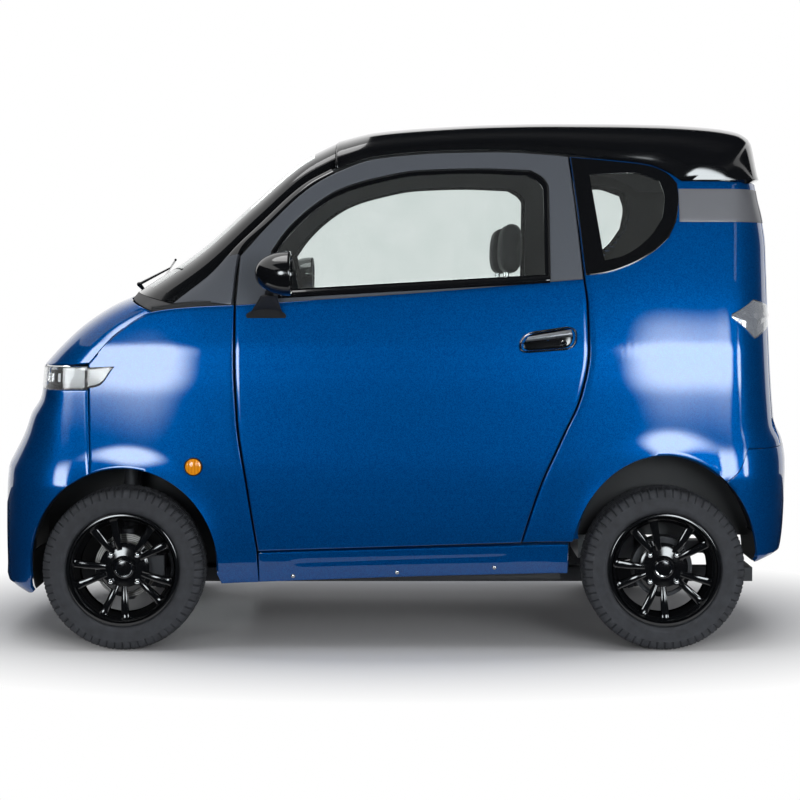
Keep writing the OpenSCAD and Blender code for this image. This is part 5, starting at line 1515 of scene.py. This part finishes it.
class SCOOTER_OT_stage(bpy.types.Operator):
    """Pale floor, studio light and the photograph's camera"""

    bl_idname = "scooter.stage"
    bl_label = "Stage"

    def execute(self, context):
        self.floor()
        self.world(context.scene)
        self.flags()
        self.softboxes()
        self.lights()
        self.camera(context.scene)
        context.scene.view_settings.view_transform = "Standard"
        return {"FINISHED"}

    def floor(self):
        """Large pale floor that keeps the shadow, with a grey oval of painted shade round the object."""
        made = bmesh.new()
        bmesh.ops.create_grid(made, x_segments=8, y_segments=8, size=30)
        mesh = bpy.data.meshes.new("studio_floor")
        made.to_mesh(mesh)
        made.free()
        finish, tree, surface = material("floor_paint", Roughness=0.9, Specular_IOR_Level=0.1)
        place = add(tree, "TexCoord")
        tone = add(tree, "TexNoise", {"Vector": place.outputs["Object"], "Scale": 0.4})
        add(tree, "Mix", {0: tone.outputs[0], 6: linear(colours().floor), 7: linear("#CDCED1")},
            {2: surface.inputs["Base Color"]}, data_type="RGBA")
        # Grey floor near the object, an oval of painted shade that deepens the real cast shadow; further out the eye,
        # gloss and glass see it white
        near = add(tree, "Mapping", {"Vector": place.outputs["Object"], "Scale": (0.62, 1, 1)})
        far = add(tree, "VectorMath", {0: near.outputs[0]}, operation="LENGTH")
        shade_to_white = add(tree, "MapRange", {"Value": far.outputs["Value"], 1: 0.75, 2: 1.3})
        share = add(tree, "Math", {0: shade_to_white.outputs[0], 1: self.seen(tree)}, operation="MULTIPLY")
        white = add(tree, "Emission", {"Strength": 1.0})
        end = next(n for n in tree.nodes if n.type == "OUTPUT_MATERIAL")
        add(tree, "MixShader", {0: share.outputs[0], 1: surface.outputs[0], 2: white.outputs[0]}, {0: end.inputs[0]})
        mesh.materials.append(finish)
        floor = bpy.data.objects.new("studio_floor", mesh)
        bpy.context.collection.objects.link(floor)

    def world(self, scene):
        """White backdrop for the eye, glass and gloss, with a softer light on the object."""
        world = bpy.data.worlds.new("studio_world")
        scene.world = world
        world.use_nodes = True
        tree = world.node_tree
        tree.nodes.clear()
        strength = add(tree, "MapRange", {"Value": self.seen(tree), 3: WORLD_FILL, 4: 1.0})
        sky = add(tree, "Background", {"Color": (1, 1, 1, 1), "Strength": strength.outputs[0]})
        add(tree, "OutputWorld", {"Surface": sky.outputs[0]})

    def seen(self, tree):
        """Socket that is 1 for rays from the eye, from gloss and through glass, and 0 for light on the object."""
        path = add(tree, "LightPath")
        through = add(tree, "Math", {0: path.outputs["Is Camera Ray"], 1: path.outputs["Is Transmission Ray"]},
                      operation="MAXIMUM")
        every = add(tree, "Math", {0: through.outputs[0], 1: path.outputs["Is Glossy Ray"]}, operation="MAXIMUM")
        return every.outputs[0]

    def flags(self):
        """Dark cards round the camera's side, overhead and on the floor, which only reflections see."""
        finish, tree, surface = material("flag_felt", Roughness=1.0, Specular_IOR_Level=0.0)
        place = add(tree, "TexCoord")
        tone = add(tree, "TexNoise", {"Vector": place.outputs["Object"], "Scale": 0.5})
        add(tree, "Mix", {0: tone.outputs[0], 6: linear("#0C0E12"), 7: linear("#16191F")},
            {2: surface.inputs["Base Color"]}, data_type="RGBA")
        cards = {
            "side_flag": [(-5.0, -7.4, -0.4), (6.4, -7.4, -0.4), (6.4, -7.4, 4.4), (-5.0, -7.4, 4.4)],
            "front_flag": [(-5.0, 3.0, -0.4), (-5.0, -7.4, -0.4), (-5.0, -7.4, 4.0), (-5.0, 3.0, 4.0)],
            "rear_flag": [(5.4, -7.4, -0.4), (5.4, 3.0, -0.4), (5.4, 3.0, 4.4), (5.4, -7.4, 4.4)],
            "floor_flag": [(-5.0, -7.4, 0.01), (5.4, -7.4, 0.01), (5.4, 3.0, 0.01), (1.5, 3.0, 0.01), (1.5, -0.9, 0.01),
                           (-1.5, -0.9, 0.01), (-1.5, 3.0, 0.01), (-5.0, 3.0, 0.01)],
            "top_flag": [(-3.0, -7.4, 4.4), (4.6, -7.4, 4.4), (4.6, 5.0, 4.4), (-0.6, 5.0, 4.4), (-0.6, -2.4, 4.4),
                         (-3.0, -2.4, 4.4)],
        }
        for name, corners in cards.items():
            self.card(name, corners, finish)

    def softboxes(self):
        """Glowing cloths on the camera's side, seen only in reflections, that fade towards their rims."""
        for name, at, width, height in (("front_cloth", (-2.4, -7.0, 1.5), 2.2, 3.0),
                                        ("rear_cloth", (2.5, -6.9, 1.7), 2.2, 3.4),
                                        ("corner_cloth", (4.4, -5.8, 1.5), 1.5, 2.6)):
            finish, tree, surface = material(name, Roughness=1.0)
            place = add(tree, "TexCoord")
            rim = add(tree, "Mapping", {"Vector": place.outputs["Object"], "Scale": (2 / width, 0, 2 / height)})
            run = add(tree, "VectorMath", {0: rim.outputs[0]}, operation="LENGTH")
            glow = add(tree, "MapRange", {"Value": run.outputs["Value"], 1: 0.45, 2: 1.0, 3: CLOTH_GLOW, 4: 0.0},
                       interpolation_type="SMOOTHSTEP")
            tree.nodes.remove(surface)
            end = next(n for n in tree.nodes if n.type == "OUTPUT_MATERIAL")
            add(tree, "Emission", {"Color": linear("#F4FBFF"), "Strength": glow.outputs[0]}, {0: end.inputs[0]})
            w, h = width / 2, height / 2
            card = self.card(name, [(-w, 0, -h), (w, 0, -h), (w, 0, h), (-w, 0, h)], finish)
            card.location = at

    def card(self, name, corners, finish):
        """Flat card that only reflections see."""
        mesh = bpy.data.meshes.new(name)
        mesh.from_pydata(corners, [], [tuple(range(len(corners)))])
        mesh.materials.append(finish)
        card = bpy.data.objects.new(name, mesh)
        bpy.context.collection.objects.link(card)
        card.visible_camera = card.visible_diffuse = card.visible_shadow = card.visible_transmission = False
        return card

    def lights(self):
        """Soft lamps: one overhead, which alone shows in gloss, three on the camera's side and one on the far side."""
        for name, at, aim, size, power in (
                ("overhead", (0, -0.5, 5.0), (0, 0, 0.8), (5.0, 3.0), 130),
                ("front_box", (-2.15, -7.0, 1.5), (-0.9, -0.6, 0.9), (1.3, 2.9), 90),
                ("rear_box", (2.4, -6.9, 2.1), (0.9, -0.6, 0.9), (1.5, 3.9), 110),
                ("corner_box", (4.2, -6.0, 1.6), (0.9, -0.6, 0.9), (2.2, 2.9), 90),
                ("far_fill", (0, 5.0, 3.0), (0, 0, 0.8), (4.0, 2.0), 50)):
            data = bpy.data.lights.new(name, "AREA")
            data.shape = "ELLIPSE"
            data.size, data.size_y = size
            data.energy = power
            lamp = bpy.data.objects.new(name, data)
            bpy.context.collection.objects.link(lamp)
            lamp.location = at
            lamp.rotation_euler = look_at(at, aim)
            lamp.visible_camera, lamp.visible_glossy = False, name == "overhead"

    def camera(self, scene):
        """Camera at the photograph's place, level, with its picture shifted down to the wheels."""
        data = bpy.data.cameras.new("photo_camera")
        data.sensor_width = 36
        data.lens = CAMERA_LENS
        data.shift_y = CAMERA_SHIFT
        camera = bpy.data.objects.new("photo_camera", data)
        bpy.context.collection.objects.link(camera)
        camera.location = CAMERA_AT
        camera.rotation_euler = (math.pi / 2, 0, 0)
        scene.camera = camera


def look_at(at, aim):
    """Turn that points an object's -Z from one place to another."""
    return (Vector(aim) - Vector(at)).to_track_quat("-Z", "Y").to_euler()


OPERATORS = [SCOOTER_OT_body_panels, SCOOTER_OT_door_seals, SCOOTER_OT_doors, SCOOTER_OT_tailgate, SCOOTER_OT_roof,
             SCOOTER_OT_quarter_windows, SCOOTER_OT_lamps, SCOOTER_OT_mirrors, SCOOTER_OT_handles, SCOOTER_OT_wheels,
             SCOOTER_OT_seats, SCOOTER_OT_cockpit, SCOOTER_OT_running_gear, SCOOTER_OT_stage]


class SCOOTER_PT_looks(bpy.types.Panel):
    """Buttons that build the looks, in their order"""

    bl_label = "Cabin Scooter"
    bl_idname = "SCOOTER_PT_looks"
    bl_space_type = "VIEW_3D"
    bl_region_type = "UI"
    bl_category = "Scooter"

    def draw(self, context):
        for operator in OPERATORS:
            self.layout.operator(operator.bl_idname)
        for group in (context.scene.scooter_sizes, context.scene.scooter_colours):
            for name in group.bl_rna.properties.keys():
                if name not in ("rna_type", "name"):
                    self.layout.prop(group, name)


CLASSES = [ScooterSizes, ScooterColours, *OPERATORS, SCOOTER_PT_looks]


def register():
    """Register the classes and hang the settings on the scene."""
    for made in CLASSES:
        bpy.utils.register_class(made)
    bpy.types.Scene.scooter_sizes = PointerProperty(type=ScooterSizes)
    bpy.types.Scene.scooter_colours = PointerProperty(type=ScooterColours)


def unregister():
    """Take the settings and the classes away again."""
    del bpy.types.Scene.scooter_colours
    del bpy.types.Scene.scooter_sizes
    for made in reversed(CLASSES):
        bpy.utils.unregister_class(made)


def main():
    """Build every piece in order."""
    register()
    for operator in OPERATORS:
        group, name = operator.bl_idname.split(".")
        getattr(getattr(bpy.ops, group), name)()


if __name__ == "__main__":
    main()
